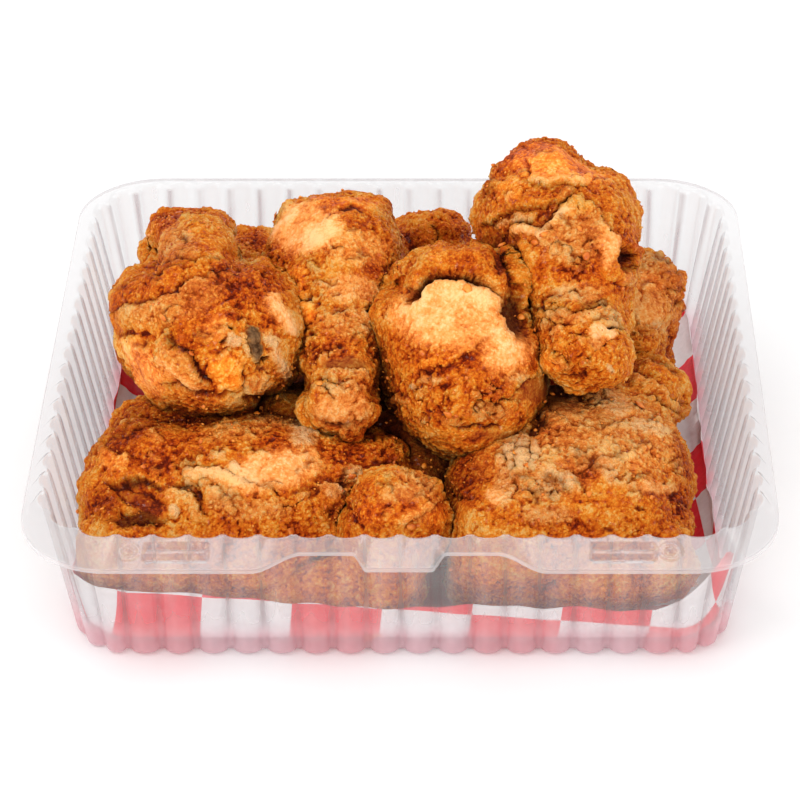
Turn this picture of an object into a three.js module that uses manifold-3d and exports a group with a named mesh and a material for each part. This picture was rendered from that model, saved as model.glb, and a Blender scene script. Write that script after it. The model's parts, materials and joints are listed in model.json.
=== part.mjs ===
// A heap of fried chicken pieces in a clear takeaway tray lined with check paper.
// Units are millimetres. +Z is up, +Y is the back, and the front with the thumb tab faces -Y.
// The tray's body is modelled about its own centre and the whole group is then moved,
// so that the origin ends up under the middle of the outer box, on the table.

import * as THREE from 'three';
import { mergeVertices } from 'three/addons/utils/BufferGeometryUtils.js';
import Module from 'manifold-3d';

// ---------- driving dimensions: tray ----------
const TRAY_HEIGHT = 52.1;
const TRAY_INNER_WIDTH = 219.5;
const TRAY_INNER_DEPTH = 218.6;
const TRAY_CORNER_RADIUS = 24;
const WALL_THICKNESS = 0.7;
const WALL_DRAFT_INSET = 10;
const FLUTES_PER_SIDE = 16;
const FLUTES_PER_CORNER = 3;
const FLUTE_DEPTH_TOP = 1.9;
const FLUTE_DEPTH_BOTTOM = 2.9;
const FLUTE_PLAN = [
  { along: 0.1, depth: 0 },
  { along: 0.32, depth: 1 },
  { along: 0.68, depth: 1 },
  { along: 0.9, depth: 0 },
];

// ---------- driving dimensions: flange ----------
const FLANGE_SIDE = 6.25;
const FLANGE_FRONT = 16;
const FLANGE_FRONT_NARROW = 6.6;
const FLANGE_CORNER_RADIUS = 28.5;
const FLANGE_DROP_SIDE = 0.7;
const FLANGE_DROP_FRONT = 2.9;
const NARROW_FROM = 29.5;
const NARROW_TO = 44.5;
const TAB_HALF_WIDTH = 9.8;
const TAB_REACH = 15.2;
const TAB_SHOULDER = 4.5;
const LATCH_X = 67.4;
const LATCH_SIZE = { x: 18.7, y: 6.3, z: 2 };
const LATCH_SHARE = 0.52;
const DIMPLE_X = 81.7;
const DIMPLE_RADIUS = 3.2;
const DIMPLE_HEIGHT = 1.4;

// ---------- driving dimensions: liner ----------
const GAP = 0.3;
const LINER_THICKNESS = 0.4;
const LINER_LOWEST_RISE = 7;
const LINER_MEAN_RISE = 17;
const LINER_FOLD_COUNT = 7;
const LINER_FOLD_HEIGHT = 4;
const LINER_CORNER_PEAK = 15;

// ---------- driving dimensions: chicken ----------
const CRUST_LUMP = 1;
const CRUST_LUMP_LENGTH = 10;
const BLEND = 6;
const RINGS = 13;
const SIDES = 11;

const wasm = await Module();
wasm.setup();

// ---------- small helpers ----------
const vec = (x, y, z) => new THREE.Vector3(x, y, z);
const lerp = THREE.MathUtils.lerp;
const radians = THREE.MathUtils.degToRad;

function smoothstep(from, to, value) {
  return THREE.MathUtils.smoothstep(value, from, to);
}

function toManifold(geometry) {
  const bare = geometry.clone();
  bare.deleteAttribute('normal');
  bare.deleteAttribute('uv');
  const merged = mergeVertices(bare, 1e-4);
  return new wasm.Manifold(new wasm.Mesh({
    numProp: 3,
    vertProperties: new Float32Array(merged.attributes.position.array),
    triVerts: new Uint32Array(merged.index.array),
  }));
}

function toGeometry(manifold) {
  const mesh = manifold.getMesh();
  const geometry = new THREE.BufferGeometry();
  geometry.setAttribute('position', new THREE.BufferAttribute(new Float32Array(mesh.vertProperties), 3));
  geometry.setIndex(new THREE.BufferAttribute(new Uint32Array(mesh.triVerts), 1));
  return geometry;
}

// A closed surface from a stack of equal loops, with a fan to a middle point at both ends.
function loftLoops(loops, firstMiddle, lastMiddle) {
  const count = loops[0].length;
  const positions = [];
  const triangles = [];
  loops.forEach((loop) => loop.forEach((p) => positions.push(p.x, p.y, p.z)));
  const firstIndex = positions.length / 3;
  positions.push(firstMiddle.x, firstMiddle.y, firstMiddle.z);
  positions.push(lastMiddle.x, lastMiddle.y, lastMiddle.z);
  for (let i = 0; i < count; i += 1) {
    const next = (i + 1) % count;
    triangles.push(firstIndex, next, i);
    for (let row = 0; row < loops.length - 1; row += 1) {
      const a = row * count + i;
      const b = row * count + next;
      triangles.push(a, b, b + count);
      triangles.push(a, b + count, a + count);
    }
    const lastRow = (loops.length - 1) * count;
    triangles.push(firstIndex + 1, lastRow + i, lastRow + next);
  }
  const geometry = new THREE.BufferGeometry();
  geometry.setAttribute('position', new THREE.BufferAttribute(new Float32Array(positions), 3));
  geometry.setIndex(triangles);
  return geometry;
}

// ---------- outlines seen from above ----------
// Each outline has the same stations: along the front, then round the corners and sides
// anticlockwise, one station for every point of the flute plan.
const stations = [];
for (let side = 0; side < 4; side += 1) {
  for (let flute = 0; flute < FLUTES_PER_SIDE; flute += 1) {
    FLUTE_PLAN.forEach(({ along, depth }) => {
      stations.push({ side, straight: (flute + along) / FLUTES_PER_SIDE, depth });
    });
  }
  for (let flute = 0; flute < FLUTES_PER_CORNER; flute += 1) {
    FLUTE_PLAN.forEach(({ along, depth }) => {
      stations.push({ side, corner: (flute + along) / FLUTES_PER_CORNER, depth });
    });
  }
}

// A rounded rectangle: half width, front and back edges and corner radius.
function outlinePoint(station, halfWidth, front, back, radius) {
  const corners = [
    vec(halfWidth - radius, front + radius, 0),
    vec(halfWidth - radius, back - radius, 0),
    vec(-halfWidth + radius, back - radius, 0),
    vec(-halfWidth + radius, front + radius, 0),
  ];
  const startAngle = radians(-90 + 90 * station.side);
  if (station.corner !== undefined) {
    const angle = startAngle + station.corner * Math.PI / 2;
    const normal = vec(Math.cos(angle), Math.sin(angle), 0);
    return { point: corners[station.side].clone().addScaledVector(normal, radius), normal };
  }
  const normal = vec(Math.cos(startAngle), Math.sin(startAngle), 0);
  const from = corners[(station.side + 3) % 4].clone().addScaledVector(normal, radius);
  const to = corners[station.side].clone().addScaledVector(normal, radius);
  return { point: from.lerp(to, station.straight), normal };
}

// ---------- tray ----------
const innerHalfWidth = TRAY_INNER_WIDTH / 2;
const innerHalfDepth = TRAY_INNER_DEPTH / 2;
const flangeHalfWidth = innerHalfWidth + FLANGE_SIDE;
const flangeFront = -innerHalfDepth - FLANGE_FRONT;
const flangeBack = innerHalfDepth + FLANGE_SIDE;
const bodyShift = (FLANGE_FRONT - FLANGE_SIDE) / 2;

function wallInset(z) {
  return WALL_DRAFT_INSET * (1 - z / TRAY_HEIGHT);
}

function wallLoop(z, outward) {
  const fluteDepth = lerp(FLUTE_DEPTH_BOTTOM, FLUTE_DEPTH_TOP, z / TRAY_HEIGHT);
  return stations.map((station) => {
    const { point, normal } = outlinePoint(
      station, innerHalfWidth, -innerHalfDepth, innerHalfDepth, TRAY_CORNER_RADIUS);
    const offset = outward - wallInset(z) + station.depth * fluteDepth;
    return point.addScaledVector(normal, offset).setZ(z);
  });
}

function frontFlangeReach(x) {
  const distance = Math.abs(x);
  const wide = lerp(FLANGE_FRONT_NARROW, FLANGE_FRONT, smoothstep(NARROW_FROM, NARROW_TO, distance));
  const tab = 1 - smoothstep(TAB_HALF_WIDTH, TAB_HALF_WIDTH + TAB_SHOULDER, distance);
  return lerp(wide, TAB_REACH, tab);
}

function flangeLoop(share, below) {
  const inner = wallLoop(TRAY_HEIGHT, 0);
  return stations.map((station, index) => {
    const { point } = outlinePoint(
      station, flangeHalfWidth, flangeFront, flangeBack, FLANGE_CORNER_RADIUS);
    const onFront = station.side === 0 && station.corner === undefined;
    if (onFront) {
      point.y = -innerHalfDepth - frontFlangeReach(point.x);
    }
    const frontness = smoothstep(innerHalfDepth * 0.8, innerHalfDepth + FLANGE_SIDE, -point.y);
    const drop = lerp(FLANGE_DROP_SIDE, FLANGE_DROP_FRONT, frontness);
    point.setZ(TRAY_HEIGHT - drop);
    const onFlange = inner[index].clone().lerp(point, share);
    return onFlange.setZ(onFlange.z - below);
  });
}

function pocketShell(size, wall) {
  const outer = toManifold(new THREE.BoxGeometry(size.x + 2 * wall, size.y + 2 * wall, size.z + wall));
  const hollow = toManifold(new THREE.BoxGeometry(size.x, size.y, size.z + wall).translate(0, 0, wall));
  return outer.subtract(hollow);
}

function makeTray() {
  const outside = [
    wallLoop(0, WALL_THICKNESS),
    wallLoop(TRAY_HEIGHT - WALL_THICKNESS, WALL_THICKNESS),
    flangeLoop(1, WALL_THICKNESS),
    flangeLoop(1, 0),
  ];
  const inside = [
    wallLoop(TRAY_HEIGHT, 0),
    wallLoop(WALL_THICKNESS, 0),
  ];
  let tray = toManifold(loftLoops([...outside, ...inside], vec(0, 0, 0), vec(0, 0, WALL_THICKNESS)));
  const latchY = -innerHalfDepth - FLANGE_FRONT * LATCH_SHARE;
  const latchTop = TRAY_HEIGHT - FLANGE_DROP_FRONT * LATCH_SHARE;
  const centreZ = latchTop - (LATCH_SIZE.z + WALL_THICKNESS) / 2;
  [-1, 1].forEach((side) => {
    const opening = new THREE.BoxGeometry(LATCH_SIZE.x, LATCH_SIZE.y, LATCH_SIZE.z * 3);
    const shell = pocketShell(LATCH_SIZE, WALL_THICKNESS).translate([side * LATCH_X, latchY, centreZ]);
    tray = tray.subtract(toManifold(opening.translate(side * LATCH_X, latchY, latchTop)));
    tray = tray.add(shell);
    const domeProfile = [];
    for (let step = 0; step <= 3; step += 1) {
      const angle = step / 3 * Math.PI / 2;
      domeProfile.push(new THREE.Vector2(DIMPLE_RADIUS * Math.cos(angle), DIMPLE_HEIGHT * Math.sin(angle)));
    }
    const dome = new THREE.LatheGeometry([new THREE.Vector2(0, -1), new THREE.Vector2(DIMPLE_RADIUS, -1),
      ...domeProfile.slice(0, 3), new THREE.Vector2(0, DIMPLE_HEIGHT)], 10);
    dome.rotateX(Math.PI / 2);
    dome.translate(side * DIMPLE_X, latchY, latchTop);
    tray = tray.add(toManifold(dome));
  });
  return toGeometry(tray);
}

// ---------- liner ----------
function linerRise(point) {
  const angle = Math.atan2(point.y, point.x);
  const folds = Math.sin(LINER_FOLD_COUNT * angle + 0.6) + 0.5 * Math.sin((LINER_FOLD_COUNT + 4) * angle + 2);
  const rise = LINER_MEAN_RISE + folds * LINER_FOLD_HEIGHT;
  const rightCorner = Math.exp(-((angle + radians(47)) ** 2) / 0.02);
  const leftCorner = Math.exp(-((angle + radians(135)) ** 2) / 0.05);
  const middleFront = Math.exp(-((angle + radians(80)) ** 2) / 0.12);
  const shaped = rise + LINER_CORNER_PEAK * rightCorner + 5 * leftCorner - 8 * middleFront;
  return Math.max(LINER_LOWEST_RISE, shaped);
}

function linerLoop(height, above) {
  return stations
    .filter((station, index) => index % 4 === 1)
    .map((station) => {
      const { point, normal } = outlinePoint(
        station, innerHalfWidth, -innerHalfDepth, innerHalfDepth, TRAY_CORNER_RADIUS);
      const z = WALL_THICKNESS + GAP + above + height * (linerRise(point) - above);
      const inset = wallInset(z) + GAP + above;
      return point.addScaledVector(normal, -inset).setZ(z);
    });
}

function makeLiner() {
  const below = [linerLoop(0, 0), linerLoop(0.15, 0), linerLoop(1, 0)];
  const above = [linerLoop(1, LINER_THICKNESS), linerLoop(0.15, LINER_THICKNESS), linerLoop(0, LINER_THICKNESS)];
  const floor = WALL_THICKNESS + GAP;
  return loftLoops([...below, ...above], vec(0, 0, floor), vec(0, 0, floor + LINER_THICKNESS));
}

// The room that the chicken can fill: everything inside the liner, and open upwards.
function makeRoom() {
  const clear = GAP * 2 + LINER_THICKNESS + 0.1;
  const shrink = (z) => stations
    .filter((station, index) => index % 4 === 0)
    .map((station) => {
      const { point, normal } = outlinePoint(
        station, innerHalfWidth, -innerHalfDepth, innerHalfDepth, TRAY_CORNER_RADIUS);
      return point.addScaledVector(normal, -wallInset(Math.min(z, TRAY_HEIGHT)) - clear).setZ(z);
    });
  const bottom = WALL_THICKNESS + clear;
  const loops = [shrink(bottom), shrink(TRAY_HEIGHT), shrink(TRAY_HEIGHT * 3)];
  return toManifold(loftLoops(loops, vec(0, 0, bottom), vec(0, 0, TRAY_HEIGHT * 3)));
}

// ---------- chicken: fields of distance ----------
// A piece is a smooth union of round cones and eggs, so its surface is where its field is zero.
function roundCone(from, to, fromRadius, toRadius) {
  const axis = to.clone().sub(from);
  const lengthSquared = Math.max(axis.lengthSq(), 1e-6);
  return (p) => {
    const along = THREE.MathUtils.clamp(p.clone().sub(from).dot(axis) / lengthSquared, 0, 1);
    const nearest = from.clone().addScaledVector(axis, along);
    return p.distanceTo(nearest) - lerp(fromRadius, toRadius, along);
  };
}

function egg(centre, frame, radii) {
  return (p) => {
    const d = p.clone().sub(centre);
    const local = vec(d.dot(frame.along), d.dot(frame.side), d.dot(frame.up));
    const once = vec(local.x / radii.x, local.y / radii.y, local.z / radii.z);
    const twice = vec(once.x / radii.x, once.y / radii.y, once.z / radii.z);
    const k0 = once.length();
    return k0 * (k0 - 1) / Math.max(twice.length(), 1e-6);
  };
}

function smoothUnion(fields, blend) {
  return (p) => fields.reduce((sum, field) => {
    const value = field(p);
    const mix = THREE.MathUtils.clamp(0.5 + 0.5 * (value - sum) / blend, 0, 1);
    return lerp(value, sum, mix) - blend * mix * (1 - mix);
  }, 1000);
}

function smoothCut(field, hollow, blend) {
  return (p) => {
    const value = field(p);
    const cut = -hollow(p);
    const mix = THREE.MathUtils.clamp(0.5 - 0.5 * (value - cut) / blend, 0, 1);
    return lerp(value, cut, mix) + blend * mix * (1 - mix);
  };
}

function lumpy(field, seed) {
  const wave = (value, shift) => Math.sin(value / CRUST_LUMP_LENGTH * 2 + shift + seed);
  return (p) => field(p) - CRUST_LUMP * wave(p.x, 0.3) * wave(p.y, 1.7) * wave(p.z, 2.9)
    - CRUST_LUMP * 0.8 * Math.sin((p.x + p.y * 0.7 + p.z * 1.3) / CRUST_LUMP_LENGTH * 1.6 + seed * 2);
}

// Directions of a piece: along it, sideways and upwards.
function frameOf(from, to) {
  const along = to.clone().sub(from).normalize();
  const side = along.clone().cross(vec(0, 0, 1)).normalize();
  const up = side.clone().cross(along).normalize();
  return { along, side, up };
}

function around(frame, centre, angle, radius) {
  const turned = radians(angle);
  return centre.clone()
    .addScaledVector(frame.up, Math.cos(turned) * radius)
    .addScaledVector(frame.side, Math.sin(turned) * radius);
}

// A roll of skin that winds over a piece, from one share of its length to another.
function skinRoll(form, fromShare, toShare, fromAngle, toAngle, radiusAt, thickness) {
  const steps = 6;
  const points = [];
  for (let step = 0; step <= steps; step += 1) {
    const share = lerp(fromShare, toShare, step / steps);
    const centre = form.from.clone().lerp(form.to, share);
    points.push(around(form.frame, centre, lerp(fromAngle, toAngle, step / steps), radiusAt(share)));
  }
  const links = points.slice(1).map((point, i) => roundCone(points[i], point, thickness, thickness));
  return smoothUnion(links, 2);
}

// ---------- chicken: the kinds of piece ----------
function drumstick({ thickEnd, ankle, calf, neck, knuckle, rolls = [] }) {
  const frame = frameOf(thickEnd, ankle);
  const at = (share) => thickEnd.clone().lerp(ankle, share);
  const form = { from: thickEnd, to: ankle, frame };
  const radiusAt = (share) => lerp(calf, neck, smoothstep(0.15, 0.9, share));
  const condyle = (angle) => around(frame, ankle, angle, knuckle * 0.42);
  const flesh = [
    roundCone(thickEnd, at(0.3), calf, calf * 0.93),
    roundCone(at(0.3), at(0.62), calf * 0.88, neck * 1.35),
    roundCone(at(0.6), at(0.97), neck * 1.2, neck),
    roundCone(condyle(90), condyle(90), knuckle * 0.78, knuckle * 0.78),
    roundCone(condyle(-90), condyle(-90), knuckle * 0.78, knuckle * 0.78),
  ];
  const folds = rolls.map((roll) => skinRoll(form, roll.from, roll.to, roll.angle, roll.endAngle,
    (share) => radiusAt(share) * 0.94, roll.thickness));
  return { ...form, field: smoothUnion([...flesh, ...folds], BLEND * 0.8) };
}

function thigh({ hip, knee, width, height, overhang = 0, rolls = [] }) {
  const frame = frameOf(hip, knee);
  const length = hip.distanceTo(knee);
  const middle = hip.clone().lerp(knee, 0.45);
  const form = { from: hip, to: knee, frame };
  const flesh = [
    egg(middle, frame, vec(length * 0.5 + width * 0.42, width / 2, height / 2)),
    egg(around(frame, hip.clone().lerp(knee, 0.2), 50, width * 0.16), frame,
      vec(width * 0.42, width * 0.42, height * 0.42)),
    roundCone(hip.clone().lerp(knee, 0.8), knee.clone().addScaledVector(frame.along, overhang),
      height * 0.3, height * 0.22),
  ];
  const folds = rolls.map((roll) => skinRoll(form, roll.from, roll.to, roll.angle, roll.endAngle,
    () => Math.min(width, height) * 0.47, roll.thickness));
  return { ...form, field: smoothUnion([...flesh, ...folds], BLEND) };
}

function breast({ shoulder, tip, width, height, lobes, rolls = [], cleft }) {
  const frame = frameOf(shoulder, tip);
  const length = shoulder.distanceTo(tip);
  const form = { from: shoulder, to: tip, frame };
  const middle = shoulder.clone().lerp(tip, 0.5);
  const lobeFields = lobes.map(({ at, radius }) => {
    const share = at.clone().sub(shoulder).dot(frame.along) / length;
    const root = shoulder.clone().lerp(tip, THREE.MathUtils.clamp(share, 0.1, 0.9));
    return roundCone(root, at, height * 0.4, radius);
  });
  const folds = rolls.map((roll) => skinRoll(form, roll.from, roll.to, roll.angle, roll.endAngle,
    () => height * 0.44, roll.thickness));
  const flesh = egg(middle, frame, vec(length * 0.5 + height * 0.4, width / 2, height / 2));
  let field = smoothUnion([flesh, ...lobeFields, ...folds], BLEND);
  if (cleft) {
    field = smoothCut(field, roundCone(cleft.from, cleft.to, cleft.radius, cleft.radius), 3);
  }
  return { ...form, field };
}

// A wing is two stretches that meet at the elbow, each with its own middle line and field.
function wing({ shoulder, elbow, wrist, radius }) {
  const frame = frameOf(elbow, shoulder);
  const ball = shoulder.clone().addScaledVector(frame.side, radius * 0.4);
  const upperFlesh = [
    roundCone(shoulder, elbow, radius, radius * 0.8),
    roundCone(shoulder, ball, radius * 0.9, radius * 0.6),
  ];
  const lowerField = roundCone(wrist, elbow, radius * 0.62, radius * 0.68);
  const lower = { from: wrist, to: elbow, frame: frameOf(wrist, elbow), field: lowerField };
  return { from: elbow, to: shoulder, frame, field: smoothUnion(upperFlesh, BLEND), lower };
}

// ---------- chicken: where each piece lies, top pieces first ----------
const pieces = {
  drumstick_right: drumstick({
    thickEnd: vec(50, 18, 87), ankle: vec(58, -37, 70), calf: 27.5, neck: 12, knuckle: 12.5,
    rolls: [
      { from: -0.1, to: 0.3, angle: 80, endAngle: -40, thickness: 4.6 },
      { from: 0.05, to: 0.6, angle: 60, endAngle: -50, thickness: 5 },
    ],
  }),
  drumstick_middle: drumstick({
    thickEnd: vec(-22.5, 21, 74), ankle: vec(-19.5, -47, 59), calf: 23, neck: 9.5, knuckle: 11.5,
    rolls: [
      { from: 0, to: 0.45, angle: 70, endAngle: -60, thickness: 4.4 },
      { from: 0.76, to: 0.8, angle: 95, endAngle: -95, thickness: 4 },
    ],
  }),
  drumstick_left: drumstick({
    thickEnd: vec(-61.5, -25, 71.5), ankle: vec(-73, 36, 69), calf: 27.7, neck: 14, knuckle: 15,
    rolls: [
      { from: -0.1, to: 0.35, angle: -70, endAngle: 30, thickness: 4.6 },
      { from: 0.1, to: 0.6, angle: -80, endAngle: 20, thickness: 4.5 },
    ],
  }),
  thigh_middle: thigh({
    hip: vec(19.6, -13, 71), knee: vec(21, -39, 58.5), width: 55.5, height: 54, overhang: 1,
    rolls: [
      { from: -0.15, to: -0.1, angle: 100, endAngle: -100, thickness: 6 },
    ],
  }),
  thigh_back_right: thigh({
    hip: vec(61, 48, 33), knee: vec(72, 18, 38), width: 54, height: 67, overhang: 2,
    rolls: [
      { from: 0.1, to: 0.7, angle: -80, endAngle: 20, thickness: 5.4 },
    ],
  }),
  wing_front: wing({
    shoulder: vec(-2.5, -79.5, 36.5), elbow: vec(-7, -89, 16), wrist: vec(-40, -89, 14), radius: 15.5,
  }),
  breast_front_left: breast({
    shoulder: vec(-22, -56, 29), tip: vec(-76, -59, 30), width: 68, height: 50,
    lobes: [
      { at: vec(-86, -53, 42), radius: 13.5 },
      { at: vec(-99, -66, 38), radius: 5 },
      { at: vec(-84, -78, 30), radius: 17 },
      { at: vec(-48, -82, 27), radius: 18 },
      { at: vec(-10, -52, 34), radius: 16 },
    ],
    rolls: [
      { from: 0.2, to: 0.75, angle: -60, endAngle: 10, thickness: 5.4 },
      { from: 0, to: 0.5, angle: -80, endAngle: -20, thickness: 4.5 },
    ],
    cleft: { from: vec(-92, -100, 36), to: vec(-66, -102, 39), radius: 4.5 },
  }),
  breast_front_right: breast({
    shoulder: vec(66, -34, 30), tip: vec(42, -66, 28), width: 78, height: 52,
    lobes: [
      { at: vec(79, -11, 41), radius: 13.5 },
      { at: vec(75, -48, 32), radius: 19 },
      { at: vec(73, -80, 28), radius: 19 },
      { at: vec(34, -80, 30), radius: 20 },
      { at: vec(28, -60, 34), radius: 16 },
    ],
    rolls: [
      { from: 0.2, to: 0.9, angle: 60, endAngle: 10, thickness: 5.4 },
      { from: 0.3, to: 0.9, angle: -50, endAngle: -20, thickness: 5.4 },
    ],
  }),
  thigh_back_left: thigh({
    hip: vec(-75, 55, 26), knee: vec(-46, 58, 35), width: 55, height: 58, overhang: 4,
    rolls: [
      { from: 0.1, to: 0.9, angle: -60, endAngle: 30, thickness: 5.4 },
    ],
  }),
  wing_back: wing({
    shoulder: vec(5, 60, 47), elbow: vec(-14, 54, 19), wrist: vec(17, 36, 15), radius: 17.5,
  }),
  thigh_floor: thigh({
    hip: vec(-7, -7, 24), knee: vec(5, -59, 24), width: 48, height: 45, overhang: 2,
  }),
};

// The surface of a piece: rays go out from its middle line, and stop where the field ends.
function skinAlong(form, field, rings) {
  const reach = 80;
  const cap = 4;
  const stop = (origin, direction) => {
    let distance = reach;
    for (let step = 0; step < 90 && distance > 0.5; step += 1) {
      const gap = field(origin.clone().addScaledVector(direction, distance));
      if (gap < 0.01) {
        break;
      }
      distance -= gap * 0.8;
    }
    return origin.clone().addScaledVector(direction, Math.max(distance, 0.5));
  };
  const loops = [];
  for (let ring = 0; ring < rings; ring += 1) {
    const share = THREE.MathUtils.clamp((ring - cap) / (rings - 1 - 2 * cap), 0, 1);
    const beyond = Math.min(ring - cap, 0) + Math.max(ring - (rings - 1 - cap), 0);
    const lean = beyond / (cap + 0.6) * Math.PI / 2;
    const origin = form.from.clone().lerp(form.to, share);
    const loop = [];
    for (let side = 0; side < SIDES; side += 1) {
      const spoke = around(form.frame, vec(0, 0, 0), side / SIDES * 360, 1);
      const direction = spoke.multiplyScalar(Math.cos(lean)).addScaledVector(form.frame.along, Math.sin(lean));
      loop.push(stop(origin, direction));
    }
    loops.push(loop);
  }
  const first = stop(form.from, form.frame.along.clone().negate());
  const last = stop(form.to, form.frame.along);
  return toManifold(loftLoops(loops, first, last));
}

function skin(form, level, seed) {
  const raised = (part) => {
    const bumpy = lumpy(part.field, seed);
    return (p) => bumpy(p) - level;
  };
  const body = skinAlong(form, raised(form), RINGS);
  return form.lower ? body.add(skinAlong(form.lower, raised(form.lower), RINGS - 3)) : body;
}

// ---------- the whole object ----------
function material(colour, roughness, options = {}) {
  return new THREE.MeshStandardMaterial({ color: colour, roughness, metalness: 0, ...options });
}

const whole = new THREE.Group();
whole.position.y = bodyShift;

function addNode(name, geometry, look) {
  const mesh = new THREE.Mesh(geometry, look);
  mesh.name = name;
  whole.add(mesh);
}

addNode('tray', makeTray(), material('#e8eaf0', 0.12, { transparent: true, opacity: 0.35 }));
addNode('liner', makeLiner(), material('#e5202e', 0.6));

const room = makeRoom();
const laid = [];
Object.entries(pieces).forEach(([name, form], index) => {
  const seed = index * 1.3;
  let solid = skin(form, 0, seed).intersect(room);
  laid.forEach((other) => {
    solid = solid.subtract(other);
  });
  const largest = solid.decompose().sort((a, b) => b.volume() - a.volume())[0];
  addNode(name, toGeometry(largest), material('#b9702f', 0.55));
  laid.push(skin(form, GAP, seed));
});

export default whole;
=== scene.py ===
import json
import math

import bpy
import bmesh
import numpy as np
from bpy.props import FloatProperty, FloatVectorProperty, IntProperty, PointerProperty
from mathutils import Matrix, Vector

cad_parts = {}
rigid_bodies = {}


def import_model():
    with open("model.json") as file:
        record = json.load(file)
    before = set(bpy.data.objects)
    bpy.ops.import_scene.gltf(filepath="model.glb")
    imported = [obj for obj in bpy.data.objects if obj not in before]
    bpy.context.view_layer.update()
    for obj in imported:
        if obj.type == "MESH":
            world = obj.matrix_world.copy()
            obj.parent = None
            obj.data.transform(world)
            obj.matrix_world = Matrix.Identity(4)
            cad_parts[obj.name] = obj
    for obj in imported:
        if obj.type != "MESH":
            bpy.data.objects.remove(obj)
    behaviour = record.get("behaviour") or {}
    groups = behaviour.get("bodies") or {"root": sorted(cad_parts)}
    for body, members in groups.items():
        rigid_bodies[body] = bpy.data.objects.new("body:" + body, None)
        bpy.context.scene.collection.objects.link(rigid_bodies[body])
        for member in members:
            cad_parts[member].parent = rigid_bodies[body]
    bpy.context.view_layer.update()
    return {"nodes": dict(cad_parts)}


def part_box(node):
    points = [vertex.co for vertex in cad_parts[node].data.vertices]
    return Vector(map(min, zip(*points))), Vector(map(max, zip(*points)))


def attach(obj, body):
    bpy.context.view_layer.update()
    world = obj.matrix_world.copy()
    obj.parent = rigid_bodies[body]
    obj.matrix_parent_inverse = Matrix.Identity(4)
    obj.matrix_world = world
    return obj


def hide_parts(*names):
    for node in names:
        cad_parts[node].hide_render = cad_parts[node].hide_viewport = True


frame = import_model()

bl_info = {
    "name": "Fried Chicken Tray",
    "version": (1, 0, 0),
    "blender": (4, 5, 0),
    "location": "View3D > Sidebar > Chicken",
    "description": "Finishes a heap of fried chicken on check paper in a clear fluted tray",
    "category": "Object",
}

MM = 0.001
TRAY_LOW, TRAY_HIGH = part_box("tray")
FRONT_FLANGE = 16 * MM
SIDE_FLANGE = 6.25 * MM


# ---------------------------------------------------------------- small tools
def mm(*values):
    """A point given in millimetres, as a vector in metres."""
    return Vector(values) * MM


def smoothstep(low, high, value):
    """Runs softly from 0 at low to 1 at high; low may be the greater of the two."""
    t = np.clip((value - low) / (high - low), 0.0, 1.0)
    return t * t * (3 - 2 * t)


def mix(a, b, t):
    return a + (b - a) * t


def bell(value, middle, width):
    """1 at the middle, falling softly to 0 on both sides."""
    return np.exp(-((value - middle) / width) ** 2)


def new_object(name, vertices, faces):
    mesh = bpy.data.meshes.new(name)
    mesh.from_pydata([tuple(v) for v in vertices], [], [tuple(f) for f in faces])
    mesh.update()
    piece = bpy.data.objects.new(name, mesh)
    bpy.context.scene.collection.objects.link(piece)
    return piece


def apply_modifiers(piece):
    """Turns the modifiers' result into the piece's own mesh."""
    graph = bpy.context.evaluated_depsgraph_get()
    graph.update()
    made = bpy.data.meshes.new_from_object(piece.evaluated_get(graph), depsgraph=graph)
    piece.modifiers.clear()
    old = piece.data
    piece.data = made
    bpy.data.meshes.remove(old)
    return piece


def shade_smooth(piece):
    piece.data.polygons.foreach_set("use_smooth", [True] * len(piece.data.polygons))
    piece.data.update()


def read_rows(collection, key):
    rows = np.zeros(len(collection) * 3)
    collection.foreach_get(key, rows)
    return rows.reshape(-1, 3)


def read_points(mesh):
    return read_rows(mesh.vertices, "co")


def read_normals(mesh):
    return read_rows(mesh.vertex_normals, "vector")


def read_mask(mesh, name):
    values = np.zeros(len(mesh.vertices))
    mesh.attributes[name].data.foreach_get("value", values)
    return values


def write_points(mesh, points):
    mesh.vertices.foreach_set("co", np.asarray(points, float).ravel())
    mesh.update()


def write_mask(mesh, name, values):
    """Stores one number per point, for the materials and geometry nodes to read."""
    mask = mesh.attributes.get(name) or mesh.attributes.new(name, "FLOAT", "POINT")
    mask.data.foreach_set("value", np.asarray(values, np.float32))


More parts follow.
